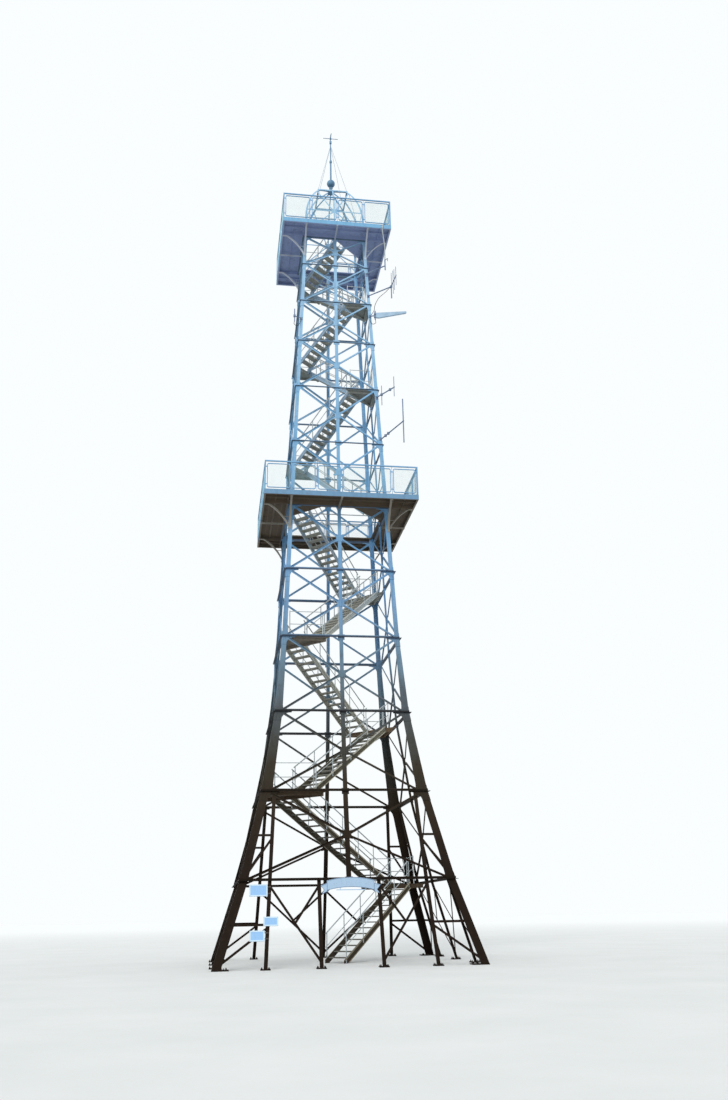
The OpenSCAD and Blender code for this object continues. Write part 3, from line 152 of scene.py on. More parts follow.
class Nodes:
    """A node tree, with one short call for each node."""

    def __init__(self, tree):
        self.tree = tree

    def put(self, socket, value):
        if isinstance(value, bpy.types.NodeSocket):
            self.tree.links.new(value, socket)
        else:
            socket.default_value = value

    def add(self, kind, inputs, output=0, **settings):
        """Output of a new node; inputs get values or other nodes' outputs, by name or number."""
        node = self.tree.nodes.new(kind)
        for key, value in settings.items():
            setattr(node, key, value)
        for key, value in inputs.items():
            self.put(node.inputs[key], value)
        return node.outputs[output]

    def math(self, operation, a, b=0.0, c=0.0, clamp=True):
        return self.add("ShaderNodeMath", {0: a, 1: b, 2: c}, operation=operation, use_clamp=clamp)

    def seen(self):
        """1 for what the camera sees, also in gloss or glass, and 0 for rays that carry light."""
        path = self.add("ShaderNodeLightPath", {}).node.outputs
        rays = self.math("MAXIMUM", path["Is Camera Ray"], path["Is Glossy Ray"])
        return self.math("MAXIMUM", rays, path["Is Transmission Ray"])


class Shader(Nodes):
    """A material's node tree, kept in materials under its name."""

    def __init__(self, name):
        self.material = materials[name] = bpy.data.materials.new(name)
        self.material.use_nodes = True
        super().__init__(self.material.node_tree)
        self.bsdf = self.tree.nodes["Principled BSDF"]
        self.place = self.add("ShaderNodeTexCoord", {}, "Object")

    def surface(self, name, value):
        self.put(self.bsdf.inputs[name], value)

    def scaled(self, stretch=(1, 1, 1)):
        return self.add("ShaderNodeMapping", {"Vector": self.place, "Scale": stretch})

    def darker(self, colour, share):
        if isinstance(colour, tuple):
            return tuple(c * share for c in colour[:3]) + (1,)
        return self.add("ShaderNodeVectorMath", {0: colour, "Scale": share}, operation="SCALE")

    def noise(self, scale, detail, rough, stretch=(1, 1, 1), distortion=0.0):
        return self.add("ShaderNodeTexNoise", {
            "Vector": self.scaled(stretch), "Scale": scale, "Detail": detail,
            "Roughness": rough, "Distortion": distortion,
        })

    def coloured(self, value, stops):
        """Map a value through (place, colour) stops."""
        output = self.add("ShaderNodeValToRGB", {"Fac": value})
        elements = output.node.color_ramp.elements
        while len(elements) < len(stops):
            elements.new(0.5)
        for element, (place, colour) in zip(elements, stops):
            element.position, element.color = place, colour
        return output

    def ramp(self, value, *stops):
        """Map a value through (place, level) stops of grey."""
        return self.coloured(value, [(place, (level, level, level, 1)) for place, level in stops])

    def span(self, value, low, high, curve="SMOOTHSTEP"):
        """0 up to the low value and 1 from the high one."""
        inputs = {"Value": value, "From Min": low, "From Max": high}
        return self.add("ShaderNodeMapRange", inputs, interpolation_type=curve)

    def axis(self, name):
        """Place along one of the tower's axes, in metres."""
        return self.add("ShaderNodeSeparateXYZ", {0: self.place}, name)

    def height(self, low, high):
        return self.span(self.axis("Z"), low, high)

    def by_height(self, stops, wobble):
        """Colour by height from {height: display colour} stops, with a wobble of about a metre."""
        wave = COLOUR_WOBBLE / COLOUR_TOP
        level = self.math("MULTIPLY_ADD", self.axis("Z"), 1 / COLOUR_TOP, -wave / 2, clamp=False)
        place = self.math("MULTIPLY_ADD", wobble, wave, level, clamp=False)
        return self.coloured(place, [(z / COLOUR_TOP, srgb(*tone)) for z, tone in stops.items()])

    def looks(self, way):
        """1 on faces that look down (way -1) or up (way 1), 0 on upright ones and the others."""
        normal = self.add("ShaderNodeNewGeometry", {}, "True Normal")
        up = self.add("ShaderNodeSeparateXYZ", {0: normal}, "Z")
        return self.span(up, 0.35 * way, 0.85 * way, "LINEAR")

    def belts(self, bands):
        """1 in the bands of height, given as (low, high)."""
        total = 0.0
        for low, high in bands:
            band = self.math("COMPARE", self.axis("Z"), (low + high) / 2, (high - low) / 2)
            total = self.math("MAXIMUM", band, total)
        return total

    def mix(self, share, a, b):
        """Colour a where share is 0 and b where it is 1 (6, 7 and 2 are the colour sockets)."""
        return self.add("ShaderNodeMix", {0: share, 6: a, 7: b}, 2, data_type="RGBA")

    def finish(self, colour, roughness, bump=None, strength=0.0, distance=0.0, metallic=0.0):
        self.surface("Base Color", colour)
        self.surface("Roughness", roughness)
        self.surface("Metallic", metallic)
        if bump is not None:
            inputs = {"Strength": strength, "Distance": distance, "Height": bump}
            self.surface("Normal", self.add("ShaderNodeBump", inputs))

    def finish_paint(self, colour):
        """Satin paint with a fine grain."""
        fine = self.noise(34, 6, 0.65)
        self.finish(colour, self.ramp(fine, (0.3, 0.45), (0.7, 0.7)), fine, 0.25, 0.0015)


def srgb(*levels):
    """Red, green and blue as displayed, 0 to 255, in the linear values that shaders use."""
    shares = [level / 255 for level in levels]
    return (*(s / 12.92 if s <= 0.04045 else ((s + 0.055) / 1.055) ** 2.4 for s in shares), 1)


RUST = srgb(122, 76, 50)
DARK_RUST = srgb(66, 42, 32)
COLOUR_TOP, COLOUR_WOBBLE = 32.0, 2.0
SHADE_TOP, OPEN_FROM = 6.5, 14.5
FASCIA_SKIN = 0.004
COVER_FROM_X, COVER_Z, COVER_HALF_H = 1.665, 25.05, 0.255
BATTEN_FRONT = 0.0125


def painted_steel(name, stops, rust=0.5, chalk=0.25, bands=(), underside_shade=0.5):
    """Weathered paint in {height: display colour} stops, with chalking, streaks of dirt and rust.

    The bands of height, where the belts are, get painted shade, as under their flanges. Faces that
    look down get painted shade by the given share.
    """
    s = Shader(name)
    blotches = s.noise(1.3, 5, 0.6)
    base = s.by_height(stops, blotches)
    # Painted shade: 0 in the shade low down, 1 in the open above; chalk shows only in the open, and
    # the shaded foot gets darker rust, darker belts and less gloss.
    unshaded = s.height(SHADE_TOP, OPEN_FROM)
    pale = s.math("MULTIPLY", s.ramp(blotches, (0.35, 0), (0.75, chalk)), unshaded)
    chalky = s.mix(pale, base, srgb(190, 212, 226))
    streaks = s.ramp(s.noise(9, 4, 0.6, stretch=(1, 1, 0.09)), (0.48, 0), (0.78, 0.45))
    dirty = s.mix(streaks, chalky, s.darker(base, 0.45))
    spots = s.ramp(s.noise(6.5, 8, 0.72), (0.60 - 0.06 * rust, 0), (0.70, rust))
    rusty = s.mix(spots, dirty, s.mix(unshaded, DARK_RUST, RUST))
    flecks = s.ramp(s.noise(21, 6, 0.7), (0.64, 0), (0.72, rust))
    colour = s.mix(flecks, rusty, s.darker(s.mix(unshaded, base, DARK_RUST), 0.8))
    # Painted shade in the belts' bands, as under their outward flanges, darkest in the shade low
    # down.
    if bands:
        belt = s.mix(unshaded, srgb(34, 28, 22), srgb(72, 82, 104))
        colour = s.mix(s.math("MULTIPLY", s.belts(bands), 0.85), colour, belt)
    # Painted shade on faces that look down.
    colour = s.mix(s.math("MULTIPLY", s.looks(-1), underside_shade), colour, s.darker(base, 0.25))
    s.surface("Specular IOR Level", s.ramp(unshaded, (0, 0.06), (1, 0.4)))
    s.finish_paint(colour)


def deck_paint(p, fascia, under, top):
    """Pale paint on the fascia's outer face; the rest has one colour below and another on top."""
    s = Shader(p.name + "_deck_paint")
    x, y = (s.math("ABSOLUTE", s.axis(axis), clamp=False) for axis in "XY")
    distance = s.math("MAXIMUM", x, y, clamp=False)
    outside = s.math("GREATER_THAN", distance, p.side_w / 2 - FASCIA_SKIN)
    bare = s.mix(s.looks(1), under, top)
    shade = s.mix(s.ramp(s.noise(1.6, 5, 0.6), (0.35, 0), (0.7, 0.5)), bare, s.darker(bare, 0.6))
    streaks = s.ramp(s.noise(7, 4, 0.6, stretch=(1, 1, 0.2)), (0.45, 0), (0.8, 0.4))
    face = s.mix(streaks, fascia, s.darker(fascia, 0.55))
    spots = s.ramp(s.noise(6.5, 8, 0.72), (0.60, 0), (0.70, 0.35))
    s.finish_paint(s.mix(outside, shade, s.mix(spots, face, RUST)))


def weathered_boards(name, light, dark, shade_share=1.0, high=None, top=None):
    """Streaked grain with stains; near the ground it darkens to a share of its colour, as painted
    shade.

    Higher up, and on faces that look up, it turns towards a colour of its own, if one is given.
    """
    s = Shader(name)
    grain = s.noise(15, 8, 0.7, distortion=0.4)
    grained = s.ramp(grain, (0.3, 0), (0.72, 1))
    stains = s.noise(4.2, 6, 0.65)
    colour = s.mix(grained, dark, light)
    colour = s.mix(s.ramp(stains, (0.52, 0), (0.72, 0.6)), colour, s.darker(dark, 0.5))
    patches = s.ramp(s.noise(1.7, 4, 0.6), (0.4, 0), (0.75, 0.4))
    colour = s.mix(patches, colour, s.darker(light, 0.8))
    if high:
        above = s.mix(grained, s.darker(high, 0.6), high)
        colour = s.mix(s.math("MULTIPLY", s.height(9.5, 12.5), 0.9), colour, above)
    if top:
        walked = s.mix(grained, s.darker(top, 0.6), top)
        walked = s.mix(s.ramp(stains, (0.52, 0), (0.72, 0.5)), walked, s.darker(top, 0.4))
        colour = s.mix(s.looks(1), colour, walked)
    # Painted shade: darker near the ground.
    if shade_share < 1:
        colour = s.mix(s.height(3.5, 11), s.darker(colour, shade_share), colour)
    s.surface("Specular IOR Level", 0.2)
    s.finish(colour, s.ramp(grain, (0.3, 0.62), (0.8, 0.88)), grain, 0.35, 0.003)


def zinc(name, light, dark):
    """Galvanised steel, with its spangle and dull patches."""
    s = Shader(name)
    spangle = s.add("ShaderNodeTexVoronoi", {"Vector": s.scaled(), "Scale": 70})
    tone = s.ramp(spangle, (0, 0), (0.9, 1))
    dull = s.ramp(s.noise(3.5, 6, 0.6), (0.4, 0), (0.7, 1))
    colour = s.mix(s.math("MULTIPLY", dull, 0.45), s.mix(tone, light, dark), srgb(140, 143, 142))
    s.finish(colour, s.ramp(dull, (0, 0.34), (1, 0.52)), s.noise(60, 4, 0.6), 0.12, 0.001, 0.55)


def antenna_metal(name):
    """Dull bluish booms and rods, and the pale cover of the antenna that points to the right."""
    s = Shader(name)
    fine = s.noise(60, 4, 0.6)
    dull = s.ramp(s.noise(4, 6, 0.65), (0.4, 0), (0.7, 1))
    metal = s.mix(dull, srgb(98, 122, 156), srgb(136, 156, 182))
    stained = s.ramp(s.noise(3, 5, 0.6), (0.4, 0), (0.75, 0.6))
    cover = s.mix(stained, srgb(176, 206, 230), srgb(140, 168, 196))
    beyond = s.math("GREATER_THAN", s.axis("X"), COVER_FROM_X)
    level = s.math("COMPARE", s.axis("Z"), COVER_Z, COVER_HALF_H)
    colour = s.mix(s.math("MULTIPLY", beyond, level), metal, cover)
    s.finish(colour, s.ramp(fine, (0.3, 0.4), (0.7, 0.6)), fine, 0.15, 0.001)


def enamel(name, colour, batten=None):
    """Sign enamel with faint dirt that runs down it; battens behind it may differ in colour."""
    s = Shader(name)
    runs = s.noise(16, 4, 0.6, stretch=(1, 1, 0.15))
    tone = s.mix(s.ramp(runs, (0.5, 0), (0.85, 0.4)), colour, s.darker(colour, 0.7))
    worn = s.mix(s.ramp(s.noise(45, 7, 0.7), (0.66, 0), (0.74, 0.5)), tone, s.darker(colour, 0.4))
    if batten:
        # The tower's face leans in: what lies less than BATTEN_FRONT in front of it is a batten.
        lean = (half(0) - half(Z_ENTRANCE)) / Z_ENTRANCE
        face = s.math("MULTIPLY_ADD", s.axis("Z"), lean, -half(0), clamp=False)
        depth = s.math("SUBTRACT", face, s.axis("Y"), clamp=False)
        worn = s.mix(s.math("GREATER_THAN", depth, BATTEN_FRONT), batten, worn)
    s.finish(worn, s.ramp(runs, (0.3, 0.28), (0.8, 0.5)), s.noise(120, 3, 0.5), 0.08, 0.0006)


def all_over(*colour):
    """One colour at every height, as stops for painted_steel."""
    return {0: colour, COLOUR_TOP / 2: colour}


def belt_bands(levels, height):
    """Heights that the belts' edges and the deeper head belt's cover."""
    return [(z - 0.008, z + height) for z in levels[:-1]] + [(levels[-1] - 0.02, levels[-1] + 0.07)]


# Painted shade: darker and browner towards the foot, with some real weathering; paler towards the
# top as painted light of a hazy sky.
TOWER_COLOURS = {
    0.0: (34, 25, 18), 3.2: (38, 29, 22), 4.8: (50, 42, 33), 6.0: (60, 54, 44), 7.3: (72, 74, 70),
    8.4: (86, 93, 98), 9.5: (98, 120, 134), 10.5: (108, 140, 164), 12.0: (106, 150, 190),
    13.6: (110, 162, 206), 16.2: (112, 170, 214), 20.0: (126, 181, 221), 26.0: (154, 200, 234),
}
BRIGHT_BLUE = all_over(116, 174, 218)
# Painted shade: the stringers' webs darker towards the foot, and darker than their pale edges.
STAIR_COLOURS = {
    0.0: (70, 62, 52), 5.0: (84, 78, 64), 7.2: (104, 100, 84), 8.8: (160, 158, 142),
    12.0: (186, 190, 182), 16.2: (158, 186, 206),
}
# Painted highlight: pale for the stringers' lit edges, darker towards the foot as painted shade.
STAIR_EDGE_COLOURS = {
    0.0: (142, 132, 114), 4.0: (180, 174, 156), 7.0: (212, 210, 194), 12.0: (220, 222, 214),
    18.0: (184, 204, 220),
}

painted_steel("tower_paint", TOWER_COLOURS)
# The lattices' belts carry painted shade in these bands.
painted_steel("lower_lattice_paint", TOWER_COLOURS, bands=belt_bands(LOWER_LEVELS, 0.062))
painted_steel(
    "upper_lattice_paint", TOWER_COLOURS, rust=0.4, bands=belt_bands(UPPER_LEVELS[1:], 0.044),
)
painted_steel("parapet_paint", BRIGHT_BLUE, rust=0.2)
painted_steel("stair_paint", STAIR_COLOURS, rust=0.5, underside_shade=0.3)
painted_steel("stair_edge", STAIR_EDGE_COLOURS, rust=0.3, chalk=0.1, underside_shade=0.35)
painted_steel("mast_paint", all_over(96, 142, 176), rust=0.25)
painted_steel("deck_steel", BRIGHT_BLUE, rust=0.3)
painted_steel("lower_bracket_paint", all_over(164, 158, 144), rust=0.25, chalk=0.1, underside_shade=0.2)
painted_steel("upper_bracket_paint", all_over(206, 214, 226), rust=0.2, chalk=0.1, underside_shade=0.1)
deck_paint(LOWER, srgb(110, 154, 188), srgb(114, 102, 86), srgb(100, 88, 72))
# The upper deck's pale lavender-blue underneath is partly its paint and partly painted bluish light
# of a hazy sky; its top is the boards' own grey-brown.
deck_paint(UPPER, srgb(122, 182, 222), srgb(166, 182, 220), srgb(150, 142, 128))
weathered_boards("lower_boards", srgb(114, 101, 84), srgb(84, 73, 59))
# Pale lavender-blue underneath, partly the boards' paint and partly painted bluish light of a hazy
# sky.
weathered_boards("upper_boards", srgb(176, 192, 230), srgb(142, 158, 196), top=srgb(158, 150, 136))
weathered_boards("tread_steel", srgb(198, 198, 186), srgb(150, 148, 136), 0.42)
weathered_boards("landing_steel", srgb(146, 126, 102), srgb(102, 84, 66), 0.35, srgb(172, 178, 172))
weathered_boards("cable", srgb(46, 50, 60), srgb(30, 32, 40))
zinc("galvanised", srgb(206, 214, 216), srgb(176, 186, 190))
zinc("mesh_wire", srgb(186, 224, 228), srgb(166, 208, 214))
antenna_metal("antenna_metal")
enamel("sign_white", srgb(178, 207, 234))
# Blue-grey of the banner's rim; on its folds it is painted shade.
enamel("sign_edge", srgb(96, 118, 146))
enamel("board_enamel", srgb(148, 196, 242), batten=srgb(52, 42, 34))
enamel("board_edge", srgb(206, 232, 248))

# CAD nodes whose material isn't the one of their slot's name
NODE_MATERIALS = {
    "lower_deck": "lower_deck_paint", "upper_deck": "upper_deck_paint",
    "lower_brackets": "lower_bracket_paint", "upper_brackets": "upper_bracket_paint",
    "notice_boards": "board_enamel",
}


def set_material(thing, name):
    slots = thing.data.materials
    if not slots:
        slots.append(materials[name])
    for i in range(len(slots)):
        slots[i] = materials[name]


for part in frame["record"]["subparts"]:
    node = part["node"]
    name = NODE_MATERIALS.get(node, part["material_slot"])
    if "_lattice_" in node:
        name = node.split("_")[0] + "_lattice_paint"
    set_material(frame["nodes"][node], name)


# Small pieces, joined into one mesh for each kind


class Pieces:
    """Collects many small closed shapes into one mesh that rides on the tower."""

    def __init__(self):
        self.points, self.faces = [], []

    def add(self, shape, matrix=Matrix.Identity(4)):
        first = len(self.points)
        self.points += [matrix @ Vector(p) for p in shape[0]]
        self.faces += [tuple(first + i for i in face) for face in shape[1]]

    def finish(self, name, slot, material=None, smooth=False):
        thing = add_mesh(name, [tuple(p) for p in self.points], self.faces)
        thing.data.polygons.foreach_set("use_smooth", [smooth] * len(self.faces))
        thing.data.update()
        set_material(thing, material or slot)
        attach(thing, "root")


def wall(sides, rings):
    """Faces round a stack of rings of points."""
    steps = [(k, (k + 1) % sides) for k in range(sides)]
    return [
        (low + a, low + b, low + sides + b, low + sides + a)
        for low in range(0, (rings - 1) * sides, sides) for a, b in steps
    ]


def lathe(rings, sides):
    """Closed solid of revolution about Z from (radius, height) rings, bottom first.

    A last radius of 0 is a point.
    """
    full = [(r, z) for r, z in rings if r > 0]
    turns = [math.tau * (k + 0.5) / sides for k in range(sides)]
    points = [(r * math.cos(a), r * math.sin(a), z) for r, z in full for a in turns]
    faces = wall(sides, len(full))
    top = (len(full) - 1) * sides
    if rings[-1][0] == 0:
        points.append((0, 0, rings[-1][1]))
        faces += [(top + k, top + (k + 1) % sides, top + sides) for k in range(sides)]
    else:
        faces.append(tuple(top + k for k in range(sides)))
    faces.append(tuple(range(sides))[::-1])
    return points, faces


def chamfered_box(low, high, chamfer):
    """Box whose edges round its top and bottom are cut by a small chamfer."""
    (x0, y0, z0), (x1, y1, z1) = low, high
    c = min(chamfer, (x1 - x0) / 3, (y1 - y0) / 3, (z1 - z0) / 3)
    points = []
    for z, inset in ((z0, c), (z0 + c, 0), (z1 - c, 0), (z1, c)):
        points += [
            (x0 + inset, y0 + inset, z), (x1 - inset, y0 + inset, z),
            (x1 - inset, y1 - inset, z), (x0 + inset, y1 - inset, z),
        ]
    return points, [(3, 2, 1, 0), (12, 13, 14, 15)] + wall(4, 4)


BAR_FACES = [(0, 1, 2, 3), (7, 6, 5, 4), (0, 4, 5, 1), (1, 5, 6, 2), (2, 6, 7, 3), (3, 7, 4, 0)]


def bar(a, b, width, depth, up=(0, 0, 1)):
    """Straight bar of rectangular section from a to b."""
    a, b, up = Vector(a), Vector(b), Vector(up)
    along = (b - a).normalized()
    high = (up - along * up.dot(along)).normalized()
    w, d = high.cross(along) * width / 2, high * depth / 2
    return [end + shift for end in (a, b) for shift in (-w - d, w - d, w + d, d - w)], BAR_FACES


def plank(corners, z0, z1):
    """Board of any plan, from z0 to z1; corners run anticlockwise from above."""
    n = len(corners)
    points = [(x, y, z) for z in (z0, z1) for x, y in corners]
    return points, [tuple(range(n))[::-1], tuple(range(n, 2 * n))] + wall(n, 2)


def rows_in(length, wanted):
    """Number of equal rows nearest to a wanted width, and their pitch."""
    rows = max(1, round(length / wanted))
    return rows, length / rows


def on_face(pieces, shape, side, z1, z2, places, lift=0.0, ways=(1, -1)):
    """A shape at each (x, y) place of one bay's plane, right and left, lift outside it."""
    plane = face_matrix(side, z1, z2)
    for way, (x, y) in product(ways, places):
        pieces.add(shape, plane @ move(way * x, y, lift))


# Rivets on the lattice's plates

RIVET = lathe([(0.013, 0), (0.013 * 0.92, 0.004), (0.013 * 0.6, 0.008), (0, 0.010)], 6)
RIVET_PITCH = 0.05
ABOVE_BELT, BELOW_BELT = 0.11, 0.03
PLATE_EDGE = 0.015
# Two rows on a leg's flange, as shares of its width, and how far the inner one goes down the gusset
OUTER_ROW, INNER_ROW, INNER_END = 0.3, 0.72, 0.75
CORNER_STEPS, STAR_STEPS, BAR_ASIDE = (0.035, 0.085, 0.135), (0.02, 0.075), 0.006
# Out from the middle of a face and down from a bay's top, on the head plate and on the others
HEAD_PLATE = [(0.04, 0.2), (0.04, 0.14), (0.045, 0.08), (0.09, 0.03)]
MIDDLE_PLATE = [(0.045, 0.03), (0.045, 0.075), (0.10, 0.03), (0.10, 0.075)]
STAR_SHARES = (-0.32, -0.11, 0.11, 0.32)


def level_share(z, low, high):
    """A size that changes evenly from the knee belt to the upper deck."""
    return float(np.interp(z, [Z_KNEE, Z_UPPER_DECK], [low, high]))


def gusset_share(z, upward):
    return level_share(z, 1, TOP_GUSSET_SHARE) * (STANDING_SHARE if upward else 1)


def diagonal(z1, z2, upward):
    """Ends of the right diagonal of one bay's lower or upper half, in the bay's plane."""
    up = slope_length(z1, z2)
    level = z1 if upward else z2
    seat = gusset_share(level, upward) * GUSSET_SEAT
    x = half(level) - flange_by(level, upward) - GUSSET_REACH * seat
    y = GUSSET_EDGE + GUSSET_DROP * seat
    middle = (z1 + z2) / 2
    star_x = level_share(middle, STAR_W, TOP_STAR_W) * 0.25
    star_y = level_share(middle, STAR_H, TOP_STAR_H) * (-0.22 if upward else 0.22)
    return Vector((x, y if upward else up - y)), Vector((star_x, up / 2 + star_y))


def gusset_rivets(z1, z2, upward):
    """Places on one right corner gusset and on both ends of its diagonal."""
    up = slope_length(z1, z2)
    level = z1 if upward else z2
    w = flange_by(level, upward)
    size = gusset_share(level, upward)
    sense, start, first = (1, 0, ABOVE_BELT) if upward else (-1, up, BELOW_BELT)
    drift = (half(z1) - half(z2)) / up * sense
    drop = GUSSET_DROP * size
    places = []
    for k in range(int(drop / RIVET_PITCH)):
        rise = first + k * RIVET_PITCH
        for share, end in ((OUTER_ROW, drop - PLATE_EDGE), (INNER_ROW, drop * INNER_END)):
            if rise <= end:
                places.append((half(level) - w * share - drift * rise, start + sense * rise))
    corner, star = diagonal(z1, z2, upward)
    along = (star - corner).normalized()
    aside = Vector((-along.y, along.x)) * BAR_ASIDE
    steps = CORNER_STEPS[: 3 if size > 0.6 else 2]
    places += [corner + along * step - aside for step in steps]
    return places + [star - along * step - aside for step in STAR_STEPS]


def belt_rivets(z, w):
    """Places along a belt's upright flange, over its gussets and its middle plate."""
    size = GUSSET_REACH * gusset_share(z, True)
    leg = flange_by(z, True)
    xs = [half(z) - leg - size * share for share in (0.08, 0.35, 0.62)]
    xs += [half(z) - leg * share for share in (0.3, 0.75)] + [0.04, 0.10]
    return [(x, w * 0.55) for x in xs]


def add_lattice_rivets():
    for name, levels, belt_w in (
        ("lower", LOWER_LEVELS, BELT_FLANGE), ("upper", UPPER_LEVELS, UPPER_BELT_FLANGE),
    ):
        pieces = Pieces()
        for side, (z1, z2) in product(range(4), pairwise(levels)):
            up = slope_length(z1, z2)
            h = level_share((z1 + z2) / 2, STAR_H, TOP_STAR_H)
            places = [(MID_POST_W * 0.32, up / 2 + h * share) for share in STAR_SHARES]
            for upward in (True, False):
                if not (upward and z1 == Z_LOWER_DECK and side == 0):
                    places += gusset_rivets(z1, z2, upward)
            plate = HEAD_PLATE if z2 == levels[-1] else MIDDLE_PLATE
            places += [(x, up - drop) for x, drop in plate]
            on_face(pieces, RIVET, side, z1, z2, places, GUSSET_T)
            if z1 != Z_LOWER_DECK:
                on_face(pieces, RIVET, side, z1, z2, belt_rivets(z1, belt_w), BELT_FACE)
        pieces.finish(name + "_lattice_rivets", "tower_paint", name + "_lattice_paint", smooth=True)


# Wire mesh in the parapets' panels

MESH_PITCH = 0.042
WIRE_D = 0.0032
RAIL_TUBE, PANEL_TUBE, PANEL_POST, PANEL_GAP = 0.044, 0.030, 0.014, 0.034
PANEL_CORNER_R, TUBE_BITE = 0.07, 0.005
FASCIA_LIP, CORNER_GAP, PANEL_FOOT, PANEL_SPARE = 0.004, 0.002, 0.06, 0.13


def corner_cut(distance):
    """How much shorter a wire is at each end when it lies this far from the panel's inner edge."""
    radius = PANEL_CORNER_R - PANEL_TUBE
    return radius - math.sqrt(radius ** 2 - max(radius - distance, 0) ** 2)


def panel_sizes(p):
    """A parapet's distance from the axis, its panels' x, and the mesh's size and middle height."""
    edge = p.side_w / 2 - RAIL_TUBE / 2 - FASCIA_LIP
    first = RAIL_TUBE + CORNER_GAP
    pitch = (2 * edge - first) / p.panels
    middles = [-edge + first / 2 + (i + 0.5) * pitch for i in range(p.panels)]
    w = pitch - PANEL_POST - 2 * PANEL_GAP - 2 * (PANEL_TUBE - TUBE_BITE)
    frame_h = p.rail_h - RAIL_TUBE - PANEL_SPARE
    return edge, middles, w, frame_h - 2 * (PANEL_TUBE - TUBE_BITE), p.z + PANEL_FOOT + frame_h / 2


def add_parapet_mesh():
    """Wires up and across each panel, the upright ones in front."""
    for p in PLATFORMS:
        pieces = Pieces()
        edge, middles, w, h, z = panel_sizes(p)
        wires = [(w, h, True), (h, w, False)]
        for turn, x, (length, other, upright) in product(TURNS, middles, wires):
            count = round(length / MESH_PITCH)
            y = -edge + (-WIRE_D if upright else WIRE_D) / 2
            for k in range(1, count):
                at = -length / 2 + length * k / count
                reach = other / 2 - corner_cut(length / 2 - abs(at))
                a, b = (
                    (x + at, y, z + end) if upright else (x + end, y, z + at)
                    for end in (-reach, reach)
                )
                pieces.add(bar(a, b, WIRE_D, WIRE_D, (0, 1, 0) if upright else (0, 0, 1)), turn)
        pieces.finish(p.name + "_parapet_mesh", "galvanised", "mesh_wire")


# Boards on and under the decks

BOARD_W, BOARD_GAP, BOARD_PROUD, BOARD_BITE, BOARD_LIFT = 0.22, 0.012, 0.004, 0.01, 0.0015
FASCIA_GAP, SHAFT_GAP, POST_HALF_GAP, EDGE_GAP = 0.035, 0.03, 0.08, 0.006
HOLE_CHAMFER = 0.21


def add_deck_boards(p):
    """Boards round the shaft with mitred corners, and in it on the front strip and the corners."""
    pieces = Pieces()

    def board(plan, turn=Matrix.Identity(4)):
        proud = BOARD_PROUD + random.uniform(0, BOARD_LIFT)
        low = p.z - DECK_BOARD_T
        pieces.add(plank(plan, p.z - BOARD_BITE, p.z + proud), turn)
        pieces.add(plank(plan, low - proud, low + BOARD_BITE), turn)

    outer = p.side_w / 2 - FASCIA_GAP
    rows, pitch = rows_in(outer - half(p.z) - SHAFT_GAP, BOARD_W + BOARD_GAP)
    gap = BOARD_GAP / 2
    for turn in TURNS:
        for row in range(rows):
            far_y = outer - row * pitch
            near_y = far_y - pitch + BOARD_GAP
            joints = [-1.0, -0.28 + 0.2 * (row % 2), 0.36 - 0.2 * (row % 3) / 2, 1.0]
            for a, b in pairwise(joints):
                x0, x1 = a * far_y + (gap if a > -1 else 0), b * far_y - (gap if b < 1 else 0)
                n0, n1 = (a * near_y if a == -1 else x0), (b * near_y if b == 1 else x1)
                board([(x0, -far_y), (x1, -far_y), (n1, -near_y), (n0, -near_y)], turn)

    h = half(p.z)
    edge = h - FASCIA_GAP
    front = h - p.strip
    slant = 2 * h - landing_side(p.z)
    rows, pitch = rows_in(edge - front, BOARD_W)
    for row in range(rows):
        y0 = -edge + row * pitch
        y1 = y0 + pitch - (BOARD_GAP if row < rows - 1 else EDGE_GAP)
        ends = [(-edge, edge)] if row else [(-edge, -POST_HALF_GAP), (POST_HALF_GAP, edge)]
        for x0, x1 in ends:
            board([(x0, y0), (x1, y0), (x1, y1), (x0, y1)])
    back = h - MID_POST_WEB - SHAFT_GAP
    rows, pitch = rows_in(front + back - slant, BOARD_W)
    for row in range(rows):
        y0, y1 = -front + row * pitch + BOARD_GAP, -front + (row + 1) * pitch
        x0, x1 = slant + y0 + EDGE_GAP, slant + y1 + EDGE_GAP
        if x1 < edge - 0.05:
            for sx in p.corners:
                plan = [(sx * x0, y0), (sx * edge, y0), (sx * edge, y1), (sx * x1, y1)]
                board(plan if sx > 0 else plan[::-1])
    if -1 not in p.corners:
        x, y, side = 0.004 - back, EDGE_GAP - front, HOLE_CHAMFER - 0.014
        board([(x, y), (x + side, y), (x, y + side)])
    pieces.finish(p.name + "_deck_boards", "deck_steel", p.name + "_boards")


# Stair: flights on the plan diagonals, treads and corner landings

LOWER_STAIR_W, UPPER_STAIR_W = 0.82, 0.64
FLIGHT_GAP, STRINGER_T = 0.09, 0.012
MAX_RISE, TREAD_DEPTH, TREAD_T = 0.185, 0.23, 0.03
LANDING_SHARE, LANDING_MAX, LANDING_T = 0.4, 2.2, 0.032
FIRST_RUN = 4.07
LEVELS = [0] + LOWER_LEVELS[:-1] + UPPER_LEVELS[:-1] + [Z_UPPER_DECK]
LOWER_FLIGHTS = 6
STRINGER_ABOVE, STRINGER_BELOW, STRINGER_BITE, STRINGER_END = 0.10, 0.13, 0.002, 0.02
EDGE_STRIP_T, EDGE_STRIP_H = 0.016, 0.048
STRINGER_FLANGE, STRINGER_FLANGE_T = 0.040, 0.008
NOSE_PROUD, RIB_W = 0.004, 0.012
LANDINGS = list(zip(LOWER_LEVELS[:-1] + UPPER_LEVELS[1:-1], (2, 0, 2, 0, 2, 3, 1, 3, 1, 3)))
LANDING_TIP, LANDING_BOARD_W, LANDING_INSET = 0.45, 0.2, 0.13


def landing_side(z):
    for p in PLATFORMS:
        if z == p.z:
            return p.corner_w
    return min(LANDING_SHARE * 2 * half(z), LANDING_MAX)


